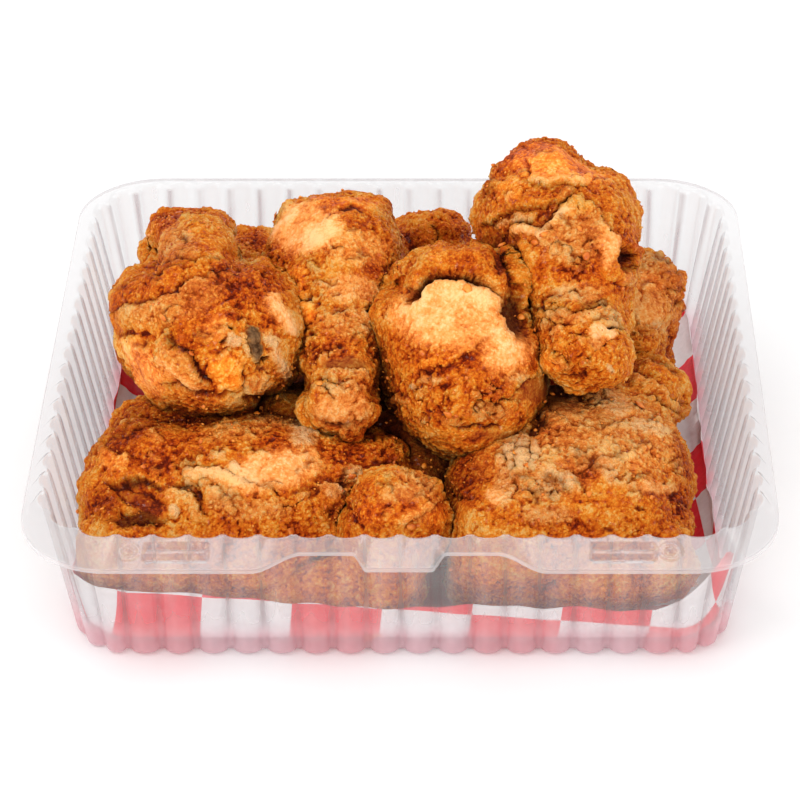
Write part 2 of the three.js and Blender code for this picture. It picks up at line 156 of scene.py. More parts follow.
class Graph:
    """Adds nodes to a shader or geometry tree and joins them, so that a graph reads like a formula."""

    def __init__(self, tree):
        self.tree = tree

    def node(self, kind, settings=None, **inputs):
        made = self.tree.nodes.new(kind)
        for key, value in (settings or {}).items():
            setattr(made, key, value)
        for key, value in inputs.items():
            self.feed(made, key.replace("_", " "), value)
        return made

    def put(self, value, socket):
        """Links an output to the socket, or sets the socket to a plain value or colour."""
        if isinstance(value, bpy.types.NodeSocket):
            self.tree.links.new(value, socket)
        elif socket.type == "RGBA" and len(value) == 3:
            socket.default_value = (*value, 1.0)
        else:
            socket.default_value = value

    def feed(self, made, key, value):
        self.put(value, next(s for s in made.inputs if s.name == key and s.enabled))

    def math(self, operation, *values, clamp=False):
        made = self.tree.nodes.new("ShaderNodeMath")
        made.operation = operation
        made.use_clamp = clamp
        for socket, value in zip(made.inputs, values):
            self.put(value, socket)
        return made.outputs[0]

    def product(self, *values):
        result = values[0]
        for value in values[1:]:
            result = self.math("MULTIPLY", result, value)
        return result

    def vector(self, operation, a, b=None, scale=None):
        made = self.tree.nodes.new("ShaderNodeVectorMath")
        made.operation = operation
        for value, key in ((a, 0), (b, 1), (scale, "Scale")):
            if value is not None:
                self.put(value, made.inputs[key])
        return made.outputs["Value"] if operation == "DOT_PRODUCT" else made.outputs["Vector"]

    def total(self, *values):
        result = values[0]
        for value in values[1:]:
            result = self.math("ADD", result, value)
        return result

    def ramp(self, value, low, high, new_low=0.0, new_high=1.0):
        made = self.node("ShaderNodeMapRange", {"interpolation_type": "SMOOTHSTEP"}, Value=value,
                         From_Min=low, From_Max=high, To_Min=new_low, To_Max=new_high)
        return made.outputs["Result"]

    def noise(self, place, size_mm, detail=2.0, roughness=0.5, distortion=0.0, output="Fac"):
        made = self.node("ShaderNodeTexNoise", Vector=place, Scale=1.0 / size_mm,
                         Detail=detail, Roughness=roughness, Distortion=distortion)
        return made.outputs[output]

    def cells(self, place, size_mm, feature="F1", smoothness=0.4):
        inputs = {"Vector": place, "Scale": 1.0 / size_mm, "Randomness": 1.0}
        if feature == "SMOOTH_F1":
            inputs["Smoothness"] = smoothness
        made = self.node("ShaderNodeTexVoronoi", {"feature": feature}, **inputs)
        return made.outputs["Distance"]

    def colours(self, value, stops):
        made = self.tree.nodes.new("ShaderNodeValToRGB")
        ramp = made.color_ramp
        while len(ramp.elements) < len(stops):
            ramp.elements.new(0.5)
        for element, (place, colour) in zip(ramp.elements, stops):
            element.position = place
            element.color = (*colour, 1.0)
        self.tree.links.new(value, made.inputs["Fac"])
        return made.outputs["Color"]

    def blend(self, share, a, b):
        """Mixes two colours."""
        made = self.node("ShaderNodeMix", {"data_type": "RGBA"})
        for key, value in ((0, share), (6, a), (7, b)):
            self.put(value, made.inputs[key])
        return made.outputs[2]

    def layer(self, share, under, over):
        """Mixes two shaders."""
        made = self.node("ShaderNodeMixShader", Fac=share)
        self.tree.links.new(under.outputs[0], made.inputs[1])
        self.tree.links.new(over.outputs[0], made.inputs[2])
        return made

    def place_mm(self):
        """Where a point lies in the frame, in millimetres."""
        return self.vector("SCALE", self.node("ShaderNodeTexCoord").outputs["Object"], scale=1 / MM)

    def mask(self, name):
        return self.node("ShaderNodeAttribute", {"attribute_name": name}).outputs["Fac"]


def new_material(name):
    material = bpy.data.materials.new(name)
    material.use_nodes = True
    material.node_tree.nodes.clear()
    graph = Graph(material.node_tree)
    out = graph.node("ShaderNodeOutputMaterial")
    return material, graph, out


def finish_piece(piece, material, slot, *nodes):
    """Gives the piece its material, hangs it from the root body and hides the CAD nodes it replaces; slot
    is not used.
    """
    piece.data.materials.clear()
    piece.data.materials.append(material)
    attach(piece, "root")
    if nodes:
        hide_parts(*nodes)


# ---------------------------------------------------------------- settings
class TraySettings(bpy.types.PropertyGroup):
    corner_radius: FloatProperty(name="Corner radius", description="Inner corner radius at the rim",
                                 default=0.024, unit="LENGTH")
    draft: FloatProperty(name="Draft", description="How much narrower each side is at the floor",
                         default=0.010, unit="LENGTH")
    flange_front: FloatProperty(name="Front flange", description="Reach of the front flange",
                                default=FRONT_FLANGE, unit="LENGTH")
    flange_side: FloatProperty(name="Side flange", description="Reach of the side and back flanges",
                               default=SIDE_FLANGE, unit="LENGTH")
    tint: FloatVectorProperty(name="Tint", description="Colour that the plastic takes on at a slant",
                              subtype="COLOR", size=3, default=(0.97, 0.96, 0.97))
    # Painted refraction: the gap colour stands in for the lines that refraction draws at the gaps between
    # the flutes.
    painted_gap_refraction: FloatVectorProperty(name="Gap tint", description="Colour of the gaps between the flutes",
                                  subtype="COLOR", size=3, default=(0.24, 0.12, 0.13))


class LinerSettings(bpy.types.PropertyGroup):
    square: FloatProperty(name="Square", description="Side of a printed square",
                          default=0.0279, unit="LENGTH")
    red: FloatVectorProperty(name="Red", description="Colour of the printed squares",
                             subtype="COLOR", size=3, default=(0.86, 0.035, 0.055))
    white: FloatVectorProperty(name="White", description="Colour of the bare paper",
                               subtype="COLOR", size=3, default=(0.93, 0.90, 0.90))


class CrustSettings(bpy.types.PropertyGroup):
    voxel: FloatProperty(name="Voxel", description="Grid of the crust's mesh",
                         default=0.0007, unit="LENGTH")
    lump: FloatProperty(name="Lumps", description="Height of the broad lumps",
                        default=0.0026, unit="LENGTH")
    crag: FloatProperty(name="Crags", description="Height of the flaky crags",
                        default=0.0009, unit="LENGTH")
    grain: FloatProperty(name="Grains", description="Height of the crumb grains",
                         default=0.00050, unit="LENGTH")
    fine_crumbs: IntProperty(name="Fine crumbs", description="Number of fine crumbs", default=2600)
    coarse_crumbs: IntProperty(name="Coarse crumbs", description="Number of coarse crumbs", default=260)
    flakes: IntProperty(name="Flakes", description="Number of thin flakes", default=90)


class StageSettings(bpy.types.PropertyGroup):
    floor: FloatVectorProperty(name="Floor", description="Colour of the floor", subtype="COLOR", size=3,
                               default=(0.86, 0.86, 0.86))
    key_power: FloatProperty(name="Key light", description="Power of the key light in watts",
                             default=3.2, unit="POWER")


# ---------------------------------------------------------------- stage
# The camera looks straight back and down by LOOK_DOWN degrees.
LOOK_DOWN = 32.37
CAMERA_PLACE = mm(19.2, -950.8, 636.2)
CAMERA_LENS = 152.55
CAMERA_SHIFT = -0.0787
WORLD_STRENGTH = 0.85
FLOOR_REACH = 6.0
LIGHTS_AIM = Vector((0, 0, 0.05))

# Name, place and size in metres, and power as a share of the key light's.
LIGHTS = (
    ("Key", (-0.5, -0.5, 0.95), (0.45, 0.45), 1.0),
    ("Overhead", (0.15, 0.25, 1.1), (0.9, 0.7), 0.7),
    ("Left panel", (-1.3, -0.1, 0.45), (1.3, 1.1), 0.9),
    ("Right panel", (1.3, -0.1, 0.45), (1.3, 1.1), 1.0),
    ("Back panel", (0.0, 1.5, 0.8), (1.8, 1.0), 0.8),
    ("Front panel", (0.0, -1.6, 0.45), (1.6, 0.7), 4.0),
)


def add_camera():
    data = bpy.data.cameras.new("Camera")
    data.lens = CAMERA_LENS
    data.shift_x = CAMERA_SHIFT
    data.clip_end = 20.0
    camera = bpy.data.objects.new("Camera", data)
    camera.location = CAMERA_PLACE
    camera.rotation_euler = (math.radians(90 - LOOK_DOWN), 0, 0)
    bpy.context.scene.collection.objects.link(camera)
    bpy.context.scene.camera = camera


def add_area_light(name, place, size, power):
    data = bpy.data.lights.new(name, "AREA")
    data.shape = "RECTANGLE"
    data.size, data.size_y = size
    data.energy = power
    light = bpy.data.objects.new(name, data)
    light.location = place
    light.rotation_euler = (LIGHTS_AIM - Vector(place)).to_track_quat("-Z", "Y").to_euler()
    light.visible_camera = False
    bpy.context.scene.collection.objects.link(light)


def floor_material(colour):
    material, graph, out = new_material("Pale floor")
    speck = graph.noise(graph.place_mm(), 40.0, detail=3.0)
    shade = graph.blend(graph.ramp(speck, 0.3, 0.7), [c * 0.985 for c in colour], colour)
    bsdf = graph.node("ShaderNodeBsdfPrincipled", Base_Color=shade, Roughness=0.6)
    graph.tree.links.new(bsdf.outputs[0], out.inputs["Surface"])
    return material


class OBJECT_OT_chicken_stage(bpy.types.Operator):
    """Adds the camera, the soft studio lights and the plain pale floor"""
    bl_idname = "object.chicken_stage"
    bl_label = "Stage"

    def execute(self, context):
        settings = context.scene.chicken_stage
        add_camera()
        context.scene.view_settings.view_transform = "Standard"
        world = bpy.data.worlds.new("Studio")
        world.use_nodes = True
        sky = world.node_tree.nodes["Background"].inputs
        sky["Color"].default_value = (1.0, 1.0, 1.0, 1.0)
        sky["Strength"].default_value = WORLD_STRENGTH
        context.scene.world = world
        corners = [(x * FLOOR_REACH, y * FLOOR_REACH, 0) for x, y in ((-1, -1), (1, -1), (1, 1), (-1, 1))]
        floor = new_object("floor", corners, [(0, 1, 2, 3)])
        floor.data.materials.append(floor_material(settings.floor))
        for name, place, size, share in LIGHTS:
            add_area_light(name, place, size, settings.key_power * share)
        return {"FINISHED"}


# ---------------------------------------------------------------- tray
HEIGHT = TRAY_HIGH[2]
HALF_WIDTH = round((TRAY_HIGH[0] - TRAY_LOW[0]) / 2 - SIDE_FLANGE, 5)
HALF_DEPTH = round((TRAY_HIGH[1] - TRAY_LOW[1] - FRONT_FLANGE - SIDE_FLANGE) / 2, 5)
FLUTES_PER_SIDE = 16
FLUTES_PER_CORNER = 3
POINTS_PER_FLUTE = 18
FLUTE_DEPTH_TOP = 1.9 * MM
FLUTE_DEPTH_BOTTOM = 2.9 * MM
FLANGE_RADIUS = 28.5 * MM
FLANGE_STEPS = 23
FLANGE_DROP_BACK, FLANGE_DROP_FRONT = 0.7 * MM, 2.9 * MM
LIP_HEIGHT = 1.1 * MM
FLOOR_Z = 0.25 * MM
WIDE_FLANGE_FROM, WIDE_FLANGE_TO = 29.5 * MM, 44.5 * MM
NARROW_REACH = 6.6 * MM
TAB_REACH = 15.2 * MM
TAB_FLAT, TAB_END = 9.8 * MM, 14.3 * MM
LATCH_X = 67.4 * MM
LATCH_HALF_WIDTH, LATCH_HALF_DEPTH = 9.3 * MM, 3.1 * MM
PIP_X = 81.7 * MM
STAMP_EDGE = 0.35 * MM


class Outline:
    """Stations round the tray, from the left end of the front side, anticlockwise from above."""

    def __init__(self, per_flute):
        kinds = []
        for side in range(4):
            for count, is_corner in ((FLUTES_PER_SIDE, False), (FLUTES_PER_CORNER, True)):
                steps = np.arange(count * per_flute) + 0.5
                for step in steps:
                    kinds.append((side, is_corner, step / (count * per_flute), (step / per_flute) % 1.0))
        self.side = np.array([k[0] for k in kinds])
        self.corner = np.array([k[1] for k in kinds])
        self.share = np.array([k[2] for k in kinds])
        self.along = np.array([k[3] for k in kinds])
        self.count = len(kinds)

    def ring(self, half_width, front, back, radius):
        """Points and outward normals of a rounded rectangle."""
        corners = np.array([
            (half_width - radius, front + radius),
            (half_width - radius, back - radius),
            (-half_width + radius, back - radius),
            (-half_width + radius, front + radius),
        ])
        angle = np.radians(-90 + 90 * self.side) + np.where(self.corner, self.share * np.pi / 2, 0)
        normal = np.stack([np.cos(angle), np.sin(angle)], 1)
        to = corners[self.side]
        start = corners[(self.side + 3) % 4]
        share = np.where(self.corner, 1.0, self.share)[:, None]
        return start + (to - start) * share + normal * radius, normal


def centre_shift(settings):
    """How far the tray's body lies behind the middle of the outer box."""
    return (settings.flange_front - settings.flange_side) / 2


def wall_inset(z, settings):
    """How far the wall leans in at height z."""
    return settings.draft * (1 - z / HEIGHT)


def wall_ring(outline, settings, z, extra_inset=0.0, flute=1.0):
    """The wall's fluted outline at height z."""
    points, normals = outline.ring(HALF_WIDTH, -HALF_DEPTH, HALF_DEPTH, settings.corner_radius)
    rib_half_width = 0.40
    across = np.clip(np.abs(outline.along - 0.5) / rib_half_width, 0, 1)
    depth = mix(FLUTE_DEPTH_BOTTOM, FLUTE_DEPTH_TOP, z / HEIGHT) * flute
    bulge = depth * np.sqrt(1 - across ** 2) ** 1.15
    offset = bulge - wall_inset(z, settings) - extra_inset
    place = points + normals * offset[:, None]
    return np.column_stack([place[:, 0], place[:, 1] + centre_shift(settings), np.full(len(place), z)])


def front_reach(x, settings):
    """How far the front flange reaches at x: wide, then narrow, then the thumb tab."""
    distance = np.abs(x)
    widening = smoothstep(WIDE_FLANGE_FROM, WIDE_FLANGE_TO, distance)
    wide = mix(NARROW_REACH, settings.flange_front, widening)
    return mix(wide, TAB_REACH, 1 - smoothstep(TAB_FLAT, TAB_END, distance))


def flange_ring(outline, settings):
    """The flange's outer edge, which droops towards the front."""
    half_width = HALF_WIDTH + settings.flange_side
    front = -HALF_DEPTH - settings.flange_front
    points, _ = outline.ring(half_width, front, HALF_DEPTH + settings.flange_side, FLANGE_RADIUS)
    on_front = (outline.side == 0) & ~outline.corner
    points[on_front, 1] = -HALF_DEPTH - front_reach(points[on_front, 0], settings)
    frontness = smoothstep(HALF_DEPTH * 0.8, HALF_DEPTH + settings.flange_side, -points[:, 1])
    drop = mix(FLANGE_DROP_BACK, FLANGE_DROP_FRONT, frontness)
    return np.column_stack([points[:, 0], points[:, 1] + centre_shift(settings), HEIGHT - drop])


def stamp(place, settings):
    """Height of the pressed details on the front flange: latch pockets and round pips."""
    x, y = np.abs(place[:, 0]), place[:, 1]
    middle = -HALF_DEPTH - settings.flange_front * 0.52 + centre_shift(settings)
    front = y < -HALF_DEPTH + centre_shift(settings)

    def within(half, distance):
        return smoothstep(half + STAMP_EDGE, half, np.abs(distance))

    latch = within(LATCH_HALF_WIDTH, x - LATCH_X)
    deep = within(LATCH_HALF_DEPTH, y - middle) * latch
    step = within(1.1 * MM, y - middle - 0.6 * MM) * latch
    pip = np.hypot(x - PIP_X, y - middle)
    dome = 1.1 * MM * smoothstep(1.9 * MM, 0.8 * MM, pip)
    ring = 0.35 * MM * bell(pip, 3.1 * MM, 0.4 * MM)
    return np.where(front, -1.7 * MM * deep + 1.0 * MM * step + dome + ring, 0)


def ring_faces(count, rows, first, flip=False):
    """Quads between rings of count points; the first ring starts at vertex first."""
    faces = []
    for row in range(rows - 1):
        a = first + row * count
        for i in range(count):
            j = (i + 1) % count
            face = (a + i, a + j, a + count + j, a + count + i)
            faces.append((face[0], *face[:0:-1]) if flip else face)
    return faces


def build_tray(settings):
    """The clear sheet from the middle of its floor up the walls, over the flange and down its lip."""
    outline = Outline(POINTS_PER_FLUTE)
    rings = [wall_ring(outline, settings, FLOOR_Z, extra * MM, flute)
             for extra, flute in ((14, 0.0), (7, 0.0), (4.2, 0.0), (2.6, 0.45))]
    floor_rings = len(rings)
    rings += [wall_ring(outline, settings, z * MM, extra * MM, flute)
              for z, extra, flute in ((0.35, 1.5, 0.75), (0.8, 0.7, 0.92), (1.6, 0.25, 1.0))]
    rings += [wall_ring(outline, settings, z) for z in np.linspace(3 * MM, HEIGHT - 2.2 * MM, 9)]
    wall_rings = len(rings) - floor_rings
    rings += [wall_ring(outline, settings, HEIGHT - 1.0 * MM, -0.12 * MM),
              wall_ring(outline, settings, HEIGHT - 0.3 * MM, -0.5 * MM)]
    inner = wall_ring(outline, settings, HEIGHT, -1.1 * MM)
    outer = flange_ring(outline, settings)
    for share in np.linspace(0, 1, FLANGE_STEPS):
        ring = mix(inner, outer, share)
        ring[:, 2] += stamp(ring, settings)
        rings.append(ring)
    lip = outer.copy()
    lip[:, 2] -= LIP_HEIGHT
    rings += [mix(rings[-1], lip, 0.5), lip]
    count = outline.count
    vertices = np.concatenate([np.array([[0, centre_shift(settings), FLOOR_Z]])] + rings)
    faces = [(0, 1 + (i + 1) % count, 1 + i) for i in range(count)] + ring_faces(count, len(rings), 1)
    tray = new_object("clear_tray", vertices, faces)
    wall_rows = np.zeros(len(rings))
    wall_rows[floor_rings:floor_rings + wall_rings] = 1.0
    lip_rows = np.zeros(len(rings))
    # The lip rows carry a painted highlight along the flange's edge.
    lip_rows[-4:] = (0.5, 1.0, 1.0, 1.0)
    # This mask places the painted refraction lines at the flute gaps.
    gap = bell(np.abs(outline.along - 0.5), 0.45, 0.028)
    # The crest mask places painted highlight streaks beside the crest of each flute.
    crest = bell(outline.along, 0.42, 0.12)
    masks = (
        ("flute_gap", wall_rows, gap),
        ("flute_crest", wall_rows, crest),
        ("lip", lip_rows, np.ones(count)),
    )
    for name, rows, pattern in masks:
        write_mask(tray.data, name, np.concatenate([[0.0], np.outer(rows, pattern).ravel()]))
    shade_smooth(tray)
    return tray


def clear_plastic_material(settings):
    """Clear sheet with a milky veil, which thickens towards the floor, and a soft gloss; a painted pink
    reflection of the paper low down, painted refraction lines in the flute gaps, and painted highlights on
    the flute crests and lip.
    """
    material, graph, out = new_material("Clear plastic")
    place = graph.place_mm()
    height = graph.node("ShaderNodeSeparateXYZ", Vector=place).outputs["Z"]
    slant = graph.node("ShaderNodeLayerWeight", Blend=0.3).outputs["Facing"]
    tint = graph.blend(graph.ramp(slant, 0.3, 1.0), (0.86, 0.86, 0.865), settings.tint)
    drawn_out = graph.vector("MULTIPLY", place, (1.0, 1.0, 0.08))
    streak = graph.ramp(graph.noise(drawn_out, 5.0, detail=2.0), 0.3, 0.7)
    # Painted refraction: the flute gaps take a brownish-red tint, broken into streaks.
    gap = graph.product(graph.mask("flute_gap"), graph.math("MULTIPLY_ADD", streak, 0.6, 0.35))
    clear = graph.node("ShaderNodeBsdfTransparent", Color=graph.blend(gap, tint, settings.painted_gap_refraction))
    ripple = graph.node("ShaderNodeBump", Strength=0.25, Distance=0.0004,
                        Height=graph.noise(place, 14.0, detail=1.0)).outputs[0]
    # Painted reflection: the milky veil turns pink low down, standing in for the red paper reflected in the
    # tray's lower band.
    shade = graph.blend(graph.ramp(height, 5.0, 15.0), (0.97, 0.66, 0.71), (0.96, 0.93, 0.94))
    milk = graph.layer(0.5, graph.node("ShaderNodeBsdfDiffuse", Color=shade),
                       graph.node("ShaderNodeBsdfTranslucent", Color=shade))
    haze = graph.total(
        graph.ramp(graph.noise(place, 9.0, detail=3.0), 0.2, 0.9, 0.15, 0.22),
        graph.ramp(height, 7.0, 15.0, 0.27, 0.0),
        graph.ramp(height, 8.0, 26.0, 0.10, 0.0),
        graph.ramp(slant, 0.50, 0.90, 0.0, -0.14),
        # Painted highlight streaks on the flute crests.
        graph.product(graph.mask("flute_crest"), 0.05),
        # Painted highlight: a whiter veil along the lip.
        graph.product(graph.mask("lip"), 0.20),
    )
    veil = graph.layer(haze, clear, milk)
    gloss = graph.node("ShaderNodeBsdfGlossy", Roughness=0.16, Normal=ripple)
    fresnel = graph.node("ShaderNodeFresnel", IOR=1.45, Normal=ripple).outputs[0]
    whole = graph.layer(graph.math("MINIMUM", fresnel, 0.16), veil, gloss)
    graph.tree.links.new(whole.outputs[0], out.inputs["Surface"])
    return material


class OBJECT_OT_chicken_tray(bpy.types.Operator):
    """Makes the clear fluted tray with its flange, thumb tab, latch pockets and pips"""
    bl_idname = "object.chicken_tray"
    bl_label = "Clear tray"

    def execute(self, context):
        settings = context.scene.chicken_tray
        tray = build_tray(settings)
        finish_piece(tray, clear_plastic_material(settings), "clear_plastic", "tray")
        return {"FINISHED"}


# ---------------------------------------------------------------- liner
# How far the print is turned, in degrees, and shifted, in squares.
PAPER_TURN = 5.3
PAPER_SHIFT = 0.584
PAPER_Z = 1.2 * MM
PAPER_GAP = 0.7 * MM
PAPER_BEND = 8 * MM
PAPER_THICKNESS = 0.12 * MM
PAPER_WAVE = 0.7 * MM
PAPER_BEND_ANGLE = math.pi / 2 - 0.19

# Direction from the middle in degrees, and how far the paper climbs there in millimetres.
PAPER_EDGE = (
    (-180, 11), (-165, 12), (-150, 18), (-140, 25), (-131, 27), (-128, 26.5), (-120, 24), (-106, 21),
    (-100, 18.5), (-93, 18.5), (-85, 19), (-78, 19.5), (-65, 19), (-58, 17), (-54, 17), (-48, 30),
    (-44, 38), (-40, 30), (-32, 14), (0, 8), (45, 9), (90, 9), (135, 10), (165, 10), (180, 11),
)


def liner_rise(points):
    """Height of the paper's edge above the floor, round the tray."""
    angle = np.degrees(np.arctan2(points[:, 1], points[:, 0]))
    ragged = 0.5 * np.sin(angle * 0.31 + 1) + 0.4 * np.sin(angle * 0.77)
    return (np.interp(angle, *zip(*PAPER_EDGE)) + ragged) * MM


def build_liner(settings, tray):
    """The paper from the middle of the floor up the walls, with its flat layout as UVs."""
    outline = Outline(4)
    points, normals = outline.ring(HALF_WIDTH, -HALF_DEPTH, HALF_DEPTH, tray.corner_radius)
    rise = liner_rise(points)
    edge_inset = wall_inset(PAPER_Z, tray) + PAPER_GAP
    rings, spread = [], []

    def add(place, z, flat):
        height = np.broadcast_to(z, len(points))
        rings.append(np.column_stack([place[:, 0], place[:, 1] + centre_shift(tray), height]))
        spread.append(flat)

    def moved(inset):
        return points - normals * np.broadcast_to(inset, len(points))[:, None]

    for share in np.linspace(0.08, 1, 12):
        inner = points * share - normals * (edge_inset + PAPER_BEND) * share
        add(inner, PAPER_Z, inner)
    for step in range(1, 6):
        turn = step / 6 * PAPER_BEND_ANGLE
        add(moved(edge_inset + PAPER_BEND * (1 - math.sin(turn))),
            PAPER_Z + PAPER_BEND * (1 - math.cos(turn)),
            moved(edge_inset + PAPER_BEND - PAPER_BEND * turn))
    start = PAPER_Z + PAPER_BEND * (1 - math.cos(PAPER_BEND_ANGLE))
    for step in range(9):
        z = start + (rise - start) * step / 8
        wave = PAPER_WAVE * np.sin(np.arange(len(points)) * 0.33) * step / 8
        add(moved(wall_inset(z, tray) + PAPER_GAP + np.abs(wave)), z,
            moved(edge_inset - PAPER_BEND * 0.4 - (z - start)))
    count = outline.count
    vertices = np.concatenate([np.array([[0, centre_shift(tray), PAPER_Z]])] + rings)
    flat = np.concatenate([np.zeros((1, 2))] + spread)
    faces = [(0, 1 + i, 1 + (i + 1) % count) for i in range(count)]
    faces += ring_faces(count, len(rings), 1, flip=True)
    liner = new_object("check_liner", vertices, faces)
    sheet = liner.data.uv_layers.new(name="Sheet")
    corner_vertices = np.zeros(len(liner.data.loops), int)
    liner.data.loops.foreach_get("vertex_index", corner_vertices)
    turn = math.radians(PAPER_TURN)
    squared = flat @ np.array([[math.cos(turn), -math.sin(turn)], [math.sin(turn), math.cos(turn)]])
    squared = squared / settings.square + np.array([PAPER_SHIFT, 0.0])
    sheet.data.foreach_set("uv", squared[corner_vertices].ravel())
    solid = liner.modifiers.new("Paper", "SOLIDIFY")
    solid.thickness = PAPER_THICKNESS
    solid.offset = 0.0
    apply_modifiers(liner)
    shade_smooth(liner)
    return liner


def check_paper_material(settings):
    """Printed squares on thin paper, which lets a little light through."""
    material, graph, out = new_material("Check paper")
    place = graph.place_mm()
    sheet = graph.node("ShaderNodeUVMap", {"uv_map": "Sheet"}).outputs["UV"]
    check = graph.node("ShaderNodeTexChecker", Vector=sheet, Scale=1.0,
                       Color1=(1, 1, 1), Color2=(0, 0, 0)).outputs["Fac"]
    fibre = graph.ramp(graph.noise(place, 1.2, detail=4.0, roughness=0.6), 0.3, 0.75)
    red = graph.blend(fibre, settings.red, [c * 1.15 for c in settings.red])
    white = graph.blend(fibre, settings.white, [c * 0.95 for c in settings.white])
    colour = graph.blend(check, white, red)
    creases = graph.total(graph.cells(place, 26.0), graph.noise(place, 14.0, 3.0))
    bump = graph.node("ShaderNodeBump", Strength=0.6, Distance=0.004, Height=creases).outputs[0]
    paper = graph.node("ShaderNodeBsdfPrincipled", Base_Color=colour, Roughness=0.5, Normal=bump)
    glow = graph.node("ShaderNodeBsdfTranslucent", Color=colour, Normal=bump)
    graph.tree.links.new(graph.layer(0.25, paper, glow).outputs[0], out.inputs["Surface"])
    return material


class OBJECT_OT_chicken_liner(bpy.types.Operator):
    """Makes the check paper that lies on the floor of the tray and climbs its walls"""
    bl_idname = "object.chicken_liner"
    bl_label = "Check paper liner"

    def execute(self, context):
        settings = context.scene.chicken_liner
        liner = build_liner(settings, context.scene.chicken_tray)
        finish_piece(liner, check_paper_material(settings), "check_paper", "liner")
        return {"FINISHED"}


# ---------------------------------------------------------------- marks on the crust
# Marks are drawn on a plane that faces a viewer in front of the tray: p runs to the right and
# q up the slope, in millimetres. They are thrown from the viewer's place onto the piece behind.
# A mark's lift is in millimetres, and each mask runs from 0 to 1.
SKETCH_ORIGIN = mm(0, 0, 60)
SKETCH_UP = Vector((0, math.sin(math.radians(LOOK_DOWN)), math.cos(math.radians(LOOK_DOWN))))
SKETCH_AWAY = Vector((0, math.cos(math.radians(LOOK_DOWN)), -math.sin(math.radians(LOOK_DOWN))))
# The fifth mask is painted shade, laid into grooves, dents and gaps and just below flap edges; the others
# set the crust's own colour, finish and relief.
MASKS = ("smooth", "crumb", "pale", "brown", "dark", "bone")
FLAP_RISE = 0.75
FLAP_GROOVE = 0.45
PATH_FADE = 0.18


def stroke(path, width, lift=0.0, **masks):
    """A rounded ridge, or a groove where the lift is negative."""
    return {"kind": "stroke", "path": path, "width": width, "lift": lift, "masks": masks}


def flap(path, width, lift, under=0.6, **masks):
    """An edge of skin that lies over the crust to its right: the high side is on the path's left. Under
    sets how much shade is painted on the crust just below the edge.
    """
    return {"kind": "flap", "path": path, "width": width, "lift": lift, "under": under, "masks": masks}


def spot(p, q, across, upward, turn=0.0, lift=0.0, edge=0.35, **masks):
    """An oval patch, dent or bump."""
    return {"kind": "spot", "at": (p, q), "radii": (across, upward), "turn": turn, "lift": lift,
            "edge": edge, "masks": masks}


def shards(seed, p, q, across, upward, count, pale=0.35):
    """Short crisp edges of crust, strewn over an oval."""
    random = np.random.default_rng(seed)
    marks = []
    for _ in range(count):
        turn, reach = random.uniform(0, 2 * math.pi), math.sqrt(random.uniform())
        middle = np.array([p + across * reach * math.cos(turn), q + upward * reach * math.sin(turn)])
        lean, half = random.uniform(-0.9, 0.9), random.uniform(1.4, 3.4)
        along = half * np.array([math.cos(lean), math.sin(lean)])
        bow = random.uniform(-1.2, 1.2) * np.array([-math.sin(lean), math.cos(lean)])
        path = [middle + along, middle + bow, middle - along]
        marks.append(flap(path, random.uniform(1.8, 3.4), random.uniform(0.7, 1.5), 0.45,
                          pale=random.uniform(0, 2 * pale), crumb=0.5))
    return marks


def sketch_places(points):
    """Where points appear on the sketch plane."""
    eye = np.array(CAMERA_PLACE)
    away = np.array(SKETCH_AWAY)
    rays = points - eye
    reach = (np.array(SKETCH_ORIGIN) - eye) @ away
    hit = eye + rays * (reach / (rays @ away))[:, None] - np.array(SKETCH_ORIGIN)
    return np.column_stack([hit[:, 0], hit @ np.array(SKETCH_UP)]) / MM


def waver(places, length, size):
    """Shifts places a little, so that drawn lines wander as crust does."""
    p, q = places[:, 0] / length, places[:, 1] / length
    shift_p = np.sin(2.1 * q + 1.3 * np.sin(1.7 * p)) + 0.6 * np.sin(4.3 * q - 2.9 * p + 1.0)
    shift_q = np.sin(2.3 * p + 1.1 * np.sin(1.9 * q)) + 0.6 * np.sin(4.7 * p + 3.1 * q + 2.0)
    return places + size * np.column_stack([shift_p, shift_q])


def line_distance(places, path):
    """Distance to a path, its side (positive on the left) and a fade towards its ends."""
    best = np.full(len(places), np.inf)
    side = np.zeros(len(places))
    ends = np.zeros(len(places))
    corners = np.array(path, float)
    lengths = np.linalg.norm(np.diff(corners, axis=0), axis=1)
    run = np.concatenate([[0], np.cumsum(lengths)])
    for i in range(len(corners) - 1):
        step = corners[i + 1] - corners[i]
        share = np.clip((places - corners[i]) @ step / (step @ step), 0, 1)
        gap = places - corners[i] - share[:, None] * step
        distance = np.linalg.norm(gap, axis=1)
        nearer = distance < best
        best = np.where(nearer, distance, best)
        turn = step[0] * gap[:, 1] - step[1] * gap[:, 0]
        side = np.where(nearer, np.sign(turn), side)
        ends = np.where(nearer, run[i] + share * lengths[i], ends)
    share = ends / run[-1]
    fade = smoothstep(0, PATH_FADE, share) * smoothstep(0, PATH_FADE, 1 - share)
    return best, side, fade


def spot_shape(mark, places):
    """How strongly the spot's masks and its lift work at each place."""
    turn = math.radians(mark["turn"])
    local = places - np.array(mark["at"])
    along = local @ np.array([math.cos(turn), math.sin(turn)]) / mark["radii"][0]
    over = local @ np.array([-math.sin(turn), math.cos(turn)]) / mark["radii"][1]
    share = 1 - smoothstep(1 - mark["edge"], 1 + mark["edge"], np.hypot(along, over))
    return share, share, {}


def stroke_shape(mark, places):
    """As spot_shape, for a stroke."""
    distance, _, fade = line_distance(places, mark["path"])
    share = np.exp(-(distance / mark["width"]) ** 2) * fade
    return share, share, {}


